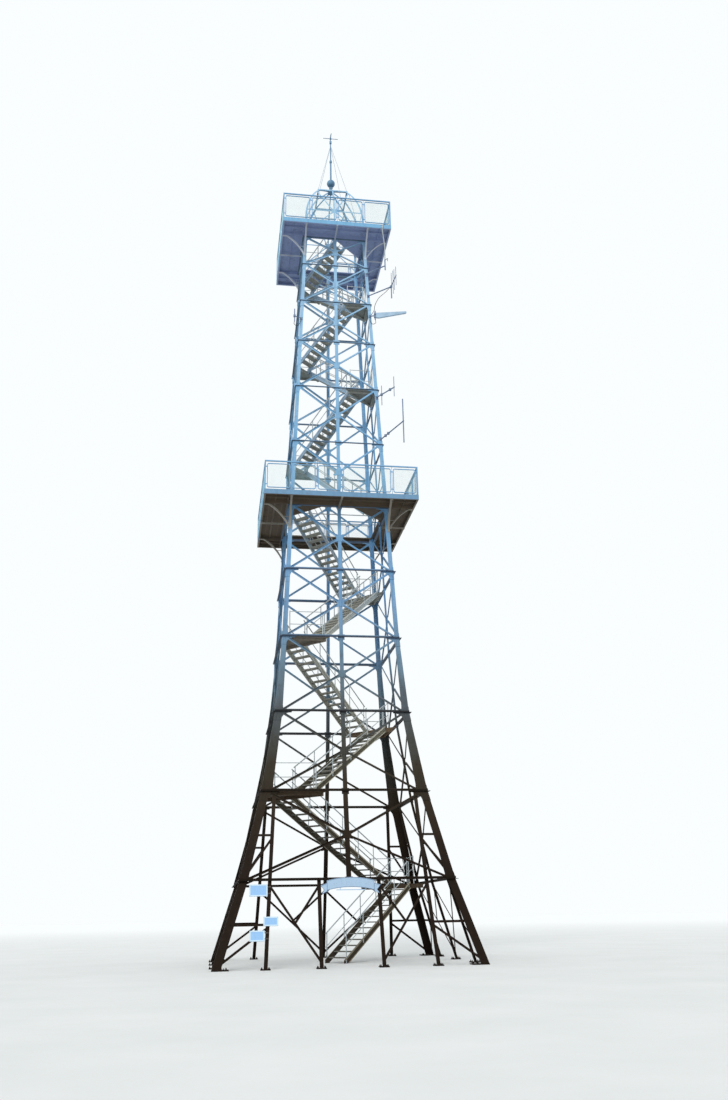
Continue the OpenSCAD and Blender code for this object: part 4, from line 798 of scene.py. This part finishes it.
def landing_edge(z):
    """Distance from the tower's axis to a landing's open edge, along the plan diagonal."""
    return half(z) * math.sqrt(2) - landing_side(z) / math.sqrt(2)


def flights():
    """Frame matrix, run, rise, width and steps of each flight; x runs along it from its foot."""
    for i, (z0, z1) in enumerate(pairwise(LEVELS)):
        upper = i >= LOWER_FLIGHTS
        width = UPPER_STAIR_W if upper else LOWER_STAIR_W
        run = FIRST_RUN if i == 0 else landing_edge(z0) + landing_edge(z1)
        side = width / 2 + FLIGHT_GAP / 2 + STRINGER_T
        place = TURNS[2 * (i % 2) + upper] @ EIGHTH @ move(landing_edge(z1) - run, -side, z0)
        yield place, run, z1 - z0, width, math.ceil((z1 - z0) / MAX_RISE - 1e-9)


def add_tread_nosings():
    """A worn angle along each tread's front edge, with raised ribs behind it."""
    pieces = Pieces()
    for place, run, rise, width, steps in flights():
        y = width / 2 - STRINGER_T - 0.004
        for j in range(1, steps):
            x, z = run * j / steps - TREAD_DEPTH / 2, rise * j / steps
            low = (x - NOSE_PROUD, -y, z - TREAD_T - NOSE_PROUD)
            high = (x + NOSE_PROUD, y, z + NOSE_PROUD)
            pieces.add(chamfered_box(low, high, 0.002), place)
            for rib in (0.03, 0.075, 0.12, 0.165, 0.205):
                low, high = (x + rib, -y, z - 0.002), (x + rib + RIB_W, y, z + NOSE_PROUD)
                pieces.add(chamfered_box(low, high, 0.0015), place)
    pieces.finish("tread_nosings", "tread_steel")


def add_stringer_edges():
    """A strip on each stringer's upper edge and a flange on its lower one, both pale as a painted
    highlight.
    """
    pieces = Pieces()
    for i, (place, run, rise, width, _) in enumerate(flights()):
        slope = rise / run
        steep = math.hypot(1, slope)
        foot = STRINGER_BELOW / slope if i == 0 else 0
        strip_z = STRINGER_ABOVE - EDGE_STRIP_H / 2 * steep + STRINGER_BITE
        flange_z = STRINGER_FLANGE_T / 2 * steep - STRINGER_BELOW
        last = run - STRINGER_END
        for first, level, out, deep in (
            (STRINGER_END, strip_z, EDGE_STRIP_T, EDGE_STRIP_H),
            (foot + STRINGER_END, flange_z, STRINGER_FLANGE, STRINGER_FLANGE_T),
        ):
            for sy in (-1, 1):
                y = sy * (width / 2 + out / 2 - STRINGER_BITE)
                a, b = ((x, y, x * slope + level) for x in (first, last))
                pieces.add(bar(a, b, out, deep), place)
    pieces.finish("stringer_edges", "stair_paint", "stair_edge")


def add_landing_boards():
    """Boards across each corner landing, parallel to its open edge."""
    pieces = Pieces()
    for z, corner in LANDINGS:
        place = TURNS[corner] @ move(-half(z), -half(z), 0) @ EIGHTH
        depth = landing_side(z) / math.sqrt(2)
        rows, pitch = rows_in(depth - LANDING_TIP, LANDING_BOARD_W)
        for row in range(rows):
            near, far = depth - 0.004 - row * pitch, depth - (row + 1) * pitch + BOARD_GAP
            n, f = near - LANDING_INSET, far - LANDING_INSET
            corners = [(far, -f), (near, -n), (near, n), (far, f)]
            pieces.add(plank(corners, z - BOARD_BITE, z + BOARD_PROUD), place)
            low = z - LANDING_T
            pieces.add(plank(corners, low - BOARD_PROUD, low + BOARD_BITE), place)
    pieces.finish("landing_boards", "landing_steel")


# Anchor bolts on the foot plates, and rivets along the fascias and up the legs

FOOT_PLATE_T = 0.03
INNER_POST_FOOT_X, INNER_POST_HEAD_X, ENTRANCE_POST_X = 2.65, 2.37, 0.96
BOLT = lathe([
    (0.030, 0), (0.030, 0.004), (0.024, 0.004), (0.024, 0.022),
    (0.021, 0.026), (0.012, 0.026), (0.012, 0.05), (0.009, 0.054),
], 6)
CORNER_BOLTS = [(0.36, 0.07), (0.07, 0.36), (0.44, 0.44), (0.45, 0.30), (0.30, 0.45)]
POST_BOLTS = [(dx, dy) for dx in (-0.11, 0.11) for dy in (-0.04, 0.185)]
FASCIA_PITCH, FASCIA_EDGE, LEG_PITCH = 0.24, 0.035, 0.30


def add_anchor_bolts():
    pieces = Pieces()
    h = half(0)
    for side, turn in enumerate(TURNS):
        middle = [-ENTRANCE_POST_X, ENTRANCE_POST_X] if side == 0 else [0]
        posts = [-INNER_POST_FOOT_X, INNER_POST_FOOT_X] + middle
        places = [(dx - h, dy) for dx, dy in CORNER_BOLTS]
        places += [(x + dx, dy) for x in posts for dx, dy in POST_BOLTS]
        for x, dy in places:
            pieces.add(BOLT, turn @ move(x, dy - h, FOOT_PLATE_T))
    pieces.finish("anchor_bolts", "tower_paint")


def add_fascia_rivets():
    pieces = Pieces()
    for p in PLATFORMS:
        count = round(p.side_w / FASCIA_PITCH)
        for turn, k, drop in product(TURNS, range(count), (FASCIA_EDGE, DECK_DEPTH - FASCIA_EDGE)):
            x = p.side_w * ((k + 0.5) / count - 0.5)
            pieces.add(RIVET, turn @ move(x, -p.side_w / 2, p.z - drop) @ FACING_OUT)
    pieces.finish("fascia_rivets", "deck_steel", smooth=True)


def add_leg_rivets():
    """A rivet at each step up both flanges of each leg."""
    pieces = Pieces()
    for side, (z1, z2) in product(range(4), pairwise(PROFILE_Z)):
        up = slope_length(z1, z2)
        count = int(up / LEG_PITCH)
        places = []
        for k in range(1, count):
            z = z1 + (z2 - z1) * k / count
            places.append((half(z) - flange(z) * 0.5, up * k / count))
        on_face(pieces, RIVET, side, z1, z2, places)
    pieces.finish("leg_rivets", "tower_paint", smooth=True)


# Rivets where the base bars meet the posts and the rakers, two at each end

BASE_PITCH = 0.045


def base_bar_ends(centre_x):
    """Ends of the right half's base bars in the planes of the two base bays."""
    low, high = slope_length(0, Z_ENTRANCE), slope_length(Z_ENTRANCE, Z_KNEE)
    belt_x = float(np.interp(Z_ENTRANCE, [0, Z_KNEE], [INNER_POST_FOOT_X, INNER_POST_HEAD_X]))
    mid_x = (INNER_POST_FOOT_X + belt_x) / 2
    high_x = (belt_x + INNER_POST_HEAD_X) / 2
    edge = RAKER_W / 2
    lower = [
        ((half(0) + half(Z_ENTRANCE)) / 2 - edge, low / 2, mid_x, low / 2),
        (half(0) - edge - 0.06, 0.15, mid_x, low / 2 - 0.09),
        (belt_x, low - 0.15, centre_x, 0.2),
        (centre_x, low - 0.15, (belt_x + centre_x) / 2, low / 2 + 0.025),
    ]
    upper = [
        ((half(Z_ENTRANCE) + half(Z_KNEE)) / 2 - edge, high / 2, high_x, high / 2),
        (half(Z_ENTRANCE) - edge - 0.04, 0.13, high_x, high / 2 - 0.09),
    ]
    return (0, Z_ENTRANCE, lower), (Z_ENTRANCE, Z_KNEE, upper)


def add_base_rivets():
    pieces = Pieces()
    for side in range(4):
        for z1, z2, bars in base_bar_ends(ENTRANCE_POST_X if side == 0 else 0):
            for x0, y0, x1, y1 in bars:
                a, b = Vector((x0, y0)), Vector((x1, y1))
                step = (b - a).normalized() * BASE_PITCH
                on_face(pieces, RIVET, side, z1, z2, [a, b, a + step, b - step])
    pieces.finish("base_rivets", "tower_paint", smooth=True)


# Bolts on the brackets' plates, the parapets' frames and the crown's feet

HEX = lathe([(0.013, 0), (0.013, 0.007), (0.009, 0.009), (0.009, 0.014), (0.006, 0.016)], 6)
BRACKET_PLATE_HALF, BRACKET_PLATE_T = 0.09, 0.010
CROWN_PLATE_T, CROWN_INSET = 0.012, 0.02


def add_bracket_bolts():
    pieces = Pieces()
    for p in PLATFORMS:
        w = p.bracket_w
        foot = p.z - DECK_DEPTH - BRACKET_DROP
        x = half(foot) - w / 2 - 0.012
        low, high = foot - BRACKET_PLATE_HALF, foot + BRACKET_PLATE_HALF
        ys = (BRACKET_PLATE_HALF - 0.065, BRACKET_PLATE_HALF + 0.065)
        places = list(product((x - w * 0.36, x + w * 0.36), ys))
        for side in range(4):
            on_face(pieces, HEX, side, low, high, places, BRACKET_PLATE_T)
    pieces.finish("bracket_bolts", "tower_paint")


def add_parapet_bolts():
    """Four bolts on the upright tubes of each framed panel."""
    pieces = Pieces()
    for p in PLATFORMS:
        edge, middles, w, h, z = panel_sizes(p)
        for turn, x, dx, dz in product(TURNS, middles, (-1, 1), (-0.3, 0.3)):
            at = move(x + dx * (w / 2 + 0.01), -edge - PANEL_TUBE / 2, z + dz * h)
            pieces.add(HEX, turn @ at @ FACING_OUT)
    pieces.finish("parapet_bolts", "parapet_paint")


def add_crown_bolts():
    pieces = Pieces()
    foot = TOP_W / 2 - CROWN_INSET
    places = [(foot - 0.012, 0.055), (foot - 0.012, -0.055), (foot - 0.045, foot - 0.045)]
    for turn, (x, y) in product(TURNS, places):
        pieces.add(HEX, turn @ move(x, y, Z_UPPER_DECK + CROWN_PLATE_T))
    pieces.finish("crown_bolts", "tower_paint")


# Banner and boards

BANNER_X, BANNER_W, BANNER_H, BANNER_T, TAIL_W = 0.035, 1.528, 0.30, 0.014, 0.191
BANNER_SAG, BANNER_DROP, BANNER_GAP = 0.095, 0.215, 0.06
BANNER_Y = -half(Z_ENTRANCE) - BELT_FLANGE - BANNER_GAP - BANNER_T
BANNER_END, BANNER_LOW = BANNER_W / 2, Z_ENTRANCE - BANNER_DROP - BANNER_SAG
BANNER_STEPS = 28
RIM_INSET, RIM_PROUD, RIM_T, RIM_SHARE = 0.012, 0.0015, 0.005, 0.985
RIM_W, TAIL_RIM_W = 0.010, 0.008
TAIL_BACK = 0.012
FOLD = [(-0.085, 0.012), (0.001, -0.004), (0.001, -0.055), (-0.085, 0.004)]
TAIL = [
    (0.012, -0.052), (TAIL_W * 0.84, -0.098), (TAIL_W * 0.41, 0.014), (TAIL_W * 0.93, 0.132),
    (0.012, 0.196),
]


def banner_arc(x):
    """Height of the banner's lower edge at a place across it."""
    return Z_ENTRANCE - BANNER_DROP - BANNER_SAG * (2 * x / BANNER_W) ** 2


def add_banner_details():
    """A raised rim along the banner's edges, folds that go back to its tails, dark as painted
    shade, and screws.
    """
    rim, folds, screws = Pieces(), Pieces(), Pieces()

    def line(a, b, y=BANNER_Y, width=RIM_W):
        """A length of rim between two (x, z) places, x from the banner's middle."""
        a, b = ((BANNER_X + x, y - RIM_PROUD, z) for x, z in (a, b))
        rim.add(bar(a, b, width, RIM_T, (0, 1, 0)))

    xs = [BANNER_W * (k / BANNER_STEPS - 0.5) for k in range(BANNER_STEPS + 1)]
    for lift in (RIM_INSET, BANNER_H - RIM_INSET):
        for x0, x1 in pairwise(xs):
            line((x0 * RIM_SHARE, banner_arc(x0) + lift), (x1 * RIM_SHARE, banner_arc(x1) + lift))
    for sx in (-1, 1):
        x = sx * (BANNER_END - RIM_INSET)
        line((x, banner_arc(x) + RIM_INSET), (x, banner_arc(x) + BANNER_H - RIM_INSET))
        points = [
            (BANNER_X + sx * (BANNER_END + dx), y, BANNER_LOW + dz)
            for y in (BANNER_Y + TAIL_BACK, BANNER_Y + 0.003) for dx, dz in FOLD
        ]
        folds.add((points, BAR_FACES if sx > 0 else [f[::-1] for f in BAR_FACES]))
        tail = [(sx * (BANNER_END + dx), BANNER_LOW + dz) for dx, dz in TAIL]
        for a, b in pairwise(tail):
            line(a, b, BANNER_Y + TAIL_BACK, TAIL_RIM_W)
        for share in (0.31, 0.345):
            x = share * BANNER_W
            at = move(BANNER_X + sx * x, BANNER_Y, banner_arc(x) + BANNER_H * 0.5)
            screws.add(HEX, at @ FACING_OUT @ Matrix.Scale(0.7, 4))
    rim.finish("banner_rim", "sign_white", "sign_edge")
    # The folds are dark as painted shade.
    folds.finish("banner_folds", "sign_white", "sign_edge")
    screws.finish("banner_screws", "sign_white", "galvanised")


# Left, bottom, width and height of each board, at its place on the front face
BOARDS = [
    (-INNER_POST_FOOT_X - 0.51, Z_ENTRANCE - 0.46, 0.57, 0.37),
    (-INNER_POST_FOOT_X - 0.07, Z_ENTRANCE - 1.33, 0.46, 0.28),
    (-INNER_POST_FOOT_X - 0.49, Z_ENTRANCE - 1.76, 0.46, 0.32),
]
BOARD_FACE, BOARD_FRAME_W, BOARD_FRAME_T = 0.024, 0.04, 0.006


def add_board_details():
    """A raised frame round each notice board, with mitred corners, and a screw in each corner."""
    frames, screws = Pieces(), Pieces()
    plane = face_matrix(0, 0, Z_ENTRANCE)
    rise = slope_length(0, Z_ENTRANCE) / Z_ENTRANCE
    for x, z, w, h in BOARDS:
        at = plane @ move(x, z * rise, BOARD_FACE)
        outer, middle, inner = (
            [(m, m), (w - m, m), (w - m, h - m), (m, h - m)]
            for m in (0, BOARD_FRAME_W / 2, BOARD_FRAME_W)
        )
        for k in range(4):
            corners = [outer[k - 1], outer[k], inner[k], inner[k - 1]]
            frames.add(plank(corners, -BOARD_FRAME_T, BOARD_FRAME_T), at)
            screws.add(HEX, at @ move(*middle[k], BOARD_FRAME_T) @ Matrix.Scale(0.6, 4))
    frames.finish("board_frames", "sign_white", "board_edge")
    screws.finish("board_screws", "sign_white", "galvanised")


# Antennas: bolts on their clamp plates, short leads from the booms to the leg, and a riser pipe


def tube(path, radius, sides=8):
    """Closed round tube along a path of points."""
    points = []
    high = Vector((0.31, 0.2, 0.93))
    for i, p in enumerate(path):
        along = (path[min(i + 1, len(path) - 1)] - path[max(i - 1, 0)]).normalized()
        high = (high - along * high.dot(along)).normalized()
        across = high.cross(along)
        for k in range(sides):
            a = math.tau * k / sides
            points.append(p + (across * math.cos(a) + high * math.sin(a)) * radius)
    last = (len(path) - 1) * sides
    caps = [tuple(range(sides))[::-1], tuple(last + k for k in range(sides))]
    return points, wall(sides, len(path)) + caps


def smooth_path(knots, steps=8):
    """Points on a smooth curve through the knots."""
    knots = [Vector(k) for k in knots]
    ends = [knots[0] * 2 - knots[1]] + knots + [knots[-1] * 2 - knots[-2]]
    path = []
    for a, b, c, d in zip(ends, ends[1:], ends[2:], ends[3:]):
        for k in range(steps):
            t = k / steps
            bend = 2 * a - 5 * b + 4 * c - d + t * (3 * b - a - 3 * c + d)
            path.append(b + t / 2 * (c - a + t * bend))
    return path + [knots[-1]]


def by_leg(sx, z, offsets):
    """Places given as offsets from the outer corner of a front leg at a height, x outwards."""
    return [(sx * (half(z) + dx), dy - half(z), z + dz) for dx, dy, dz in offsets]


COVER_BOOM_Z, ARRAY_Z, LEFT_Z = (UPPER_LEVELS[4] + rise for rise in (-0.58, 0.44, -0.91))
HOOK_Z = UPPER_LEVELS[5] - 0.28
CLAMPS = [
    (1, UPPER_LEVELS[1] + 0.27), (1, UPPER_LEVELS[2] - 0.36), (1, COVER_BOOM_Z),
    (1, ARRAY_Z), (1, UPPER_LEVELS[5] - 0.34), (-1, LEFT_Z),
]
CLAMP_X, CLAMP_HALF_H, CLAMP_T = 0.057, 0.065, 0.014
CABLE_R = 0.011
CABLES = [
    by_leg(1, COVER_BOOM_Z, [
        (0.155, -0.05, -0.15), (0.16, -0.09, -0.34), (0.03, -0.10, -0.42), (-0.06, -0.07, -0.26),
        (-0.06, -0.022, -0.07),
    ]),
    by_leg(1, ARRAY_Z, [
        (0.743, -0.68, 0.02), (0.563, -0.54, -0.13), (0.323, -0.36, -0.30), (0.183, -0.23, -0.56),
        (0.143, -0.17, -0.80),
    ]) + by_leg(1, COVER_BOOM_Z, [(-0.02, -0.022, 0.06)]),
    by_leg(-1, LEFT_Z, [
        (0.235, -0.14, -0.22), (0.25, -0.15, -0.36), (0.14, -0.13, -0.44), (0.03, -0.10, -0.32),
        (-0.05, -0.022, -0.05),
    ]),
]
RISER_R, RISER_X, RISER_Y = 0.022, 1.90, -UPPER.side_w / 2 - 0.024
RISER_FOOT = Z_UPPER_DECK - DECK_DEPTH
RISER = by_leg(1, HOOK_Z, [(0.655, -0.575, 0.30)]) + [
    (2.03, -2.06, 27.95), (1.96, -2.20, 28.40), (RISER_X, RISER_Y + 0.02, RISER_FOOT - 0.06),
    (RISER_X, RISER_Y, RISER_FOOT + 0.03), (RISER_X, RISER_Y, Z_UPPER_DECK - 0.02),
]
RISER_CLAMP = Vector((0.05, 0.026, 0.014))


def add_antenna_details():
    bolts, cables, pipe = Pieces(), Pieces(), Pieces()
    for sx, z in CLAMPS:
        x = sx * (half(z) - CLAMP_X)
        places = product((x - 0.032, x + 0.032), (CLAMP_HALF_H - 0.052, CLAMP_HALF_H + 0.052))
        on_face(bolts, HEX, 0, z - CLAMP_HALF_H, z + CLAMP_HALF_H, places, CLAMP_T, ways=(1,))
    for knots in CABLES:
        cables.add(tube(smooth_path(knots), CABLE_R))
    pipe.add(tube(smooth_path(RISER), RISER_R, 12))
    for z in (RISER_FOOT + 0.04, Z_UPPER_DECK - 0.05):
        middle = Vector((RISER_X, RISER_Y, z))
        pipe.add(chamfered_box(middle - RISER_CLAMP, middle + RISER_CLAMP, 0.004))
    pipe.finish("antenna_riser", "antenna_metal", "galvanised", smooth=True)
    bolts.finish("antenna_bolts", "antenna_metal")
    cables.finish("antenna_cables", "antenna_metal", "cable", smooth=True)


# Floor, sky and light

SKY = (0.955, 0.99, 1.0, 1)
SKY_LIGHT, SKY_STRENGTH = (0.93, 0.97, 1.0, 1), 0.8
SUN_TOWARDS, SUN_COLOUR = (-0.30, -0.74, 0.60), (1.0, 0.985, 0.96)
SUN_STRENGTH, SUN_SPREAD = 1.3, 22
FAR_FLOOR = (0.955, 0.966, 0.956, 1)
FADE_FROM, FADE_TO = 22, 130
FLOOR_BOUNCE = (0.46, 0.46, 0.46, 1)


def add_floor():
    """Pale floor that fades to the sky's white far away, and throws a plain level of light back."""
    r = FLOOR_REACH
    floor = add_mesh("floor", [(-r, -r, 0), (r, -r, 0), (r, r, 0), (-r, r, 0)], [(0, 1, 2, 3)])
    s = Shader("floor")
    patches = s.ramp(s.noise(0.35, 5, 0.6), (0.3, 0), (0.7, 1))
    pale = s.mix(patches, srgb(226, 228, 226), srgb(234, 235, 233))
    distance = s.add("ShaderNodeVectorMath", {0: s.place}, "Value", operation="LENGTH")
    far = s.span(distance, FADE_FROM, FADE_TO)
    s.finish(s.mix(s.seen(), FLOOR_BOUNCE, s.mix(far, pale, FAR_FLOOR)), 0.9)
    set_material(floor, "floor")


def add_lights():
    """Even light from all round that looks like a white sky, and a broad soft sun."""
    world = bpy.context.scene.world = bpy.data.worlds.new("studio")
    world.use_nodes = True
    w = Nodes(world.node_tree)
    light, end = (w.tree.nodes[name] for name in ("Background", "World Output"))
    w.put(light.inputs["Color"], SKY_LIGHT)
    w.put(light.inputs["Strength"], SKY_STRENGTH)
    sky = w.add("ShaderNodeBackground", {"Color": SKY})
    mixed = w.add("ShaderNodeMixShader", {0: w.seen(), 1: light.outputs[0], 2: sky})
    w.put(end.inputs["Surface"], mixed)

    sun = bpy.data.lights.new("key", "SUN")
    sun.energy, sun.angle, sun.color = SUN_STRENGTH, math.radians(SUN_SPREAD), SUN_COLOUR
    key = add_object("key", sun)
    key.rotation_mode = "QUATERNION"
    key.rotation_quaternion = Vector(SUN_TOWARDS).to_track_quat("Z", "Y")
    bpy.context.scene.view_settings.view_transform = "Standard"


add_camera()
add_lattice_rivets()
add_parapet_mesh()
add_leg_rivets()
add_fascia_rivets()
add_anchor_bolts()
add_tread_nosings()
add_stringer_edges()
add_landing_boards()
add_deck_boards(LOWER)
add_deck_boards(UPPER)
add_base_rivets()
add_bracket_bolts()
add_parapet_bolts()
add_crown_bolts()
add_banner_details()
add_board_details()
add_antenna_details()
add_floor()
add_lights()
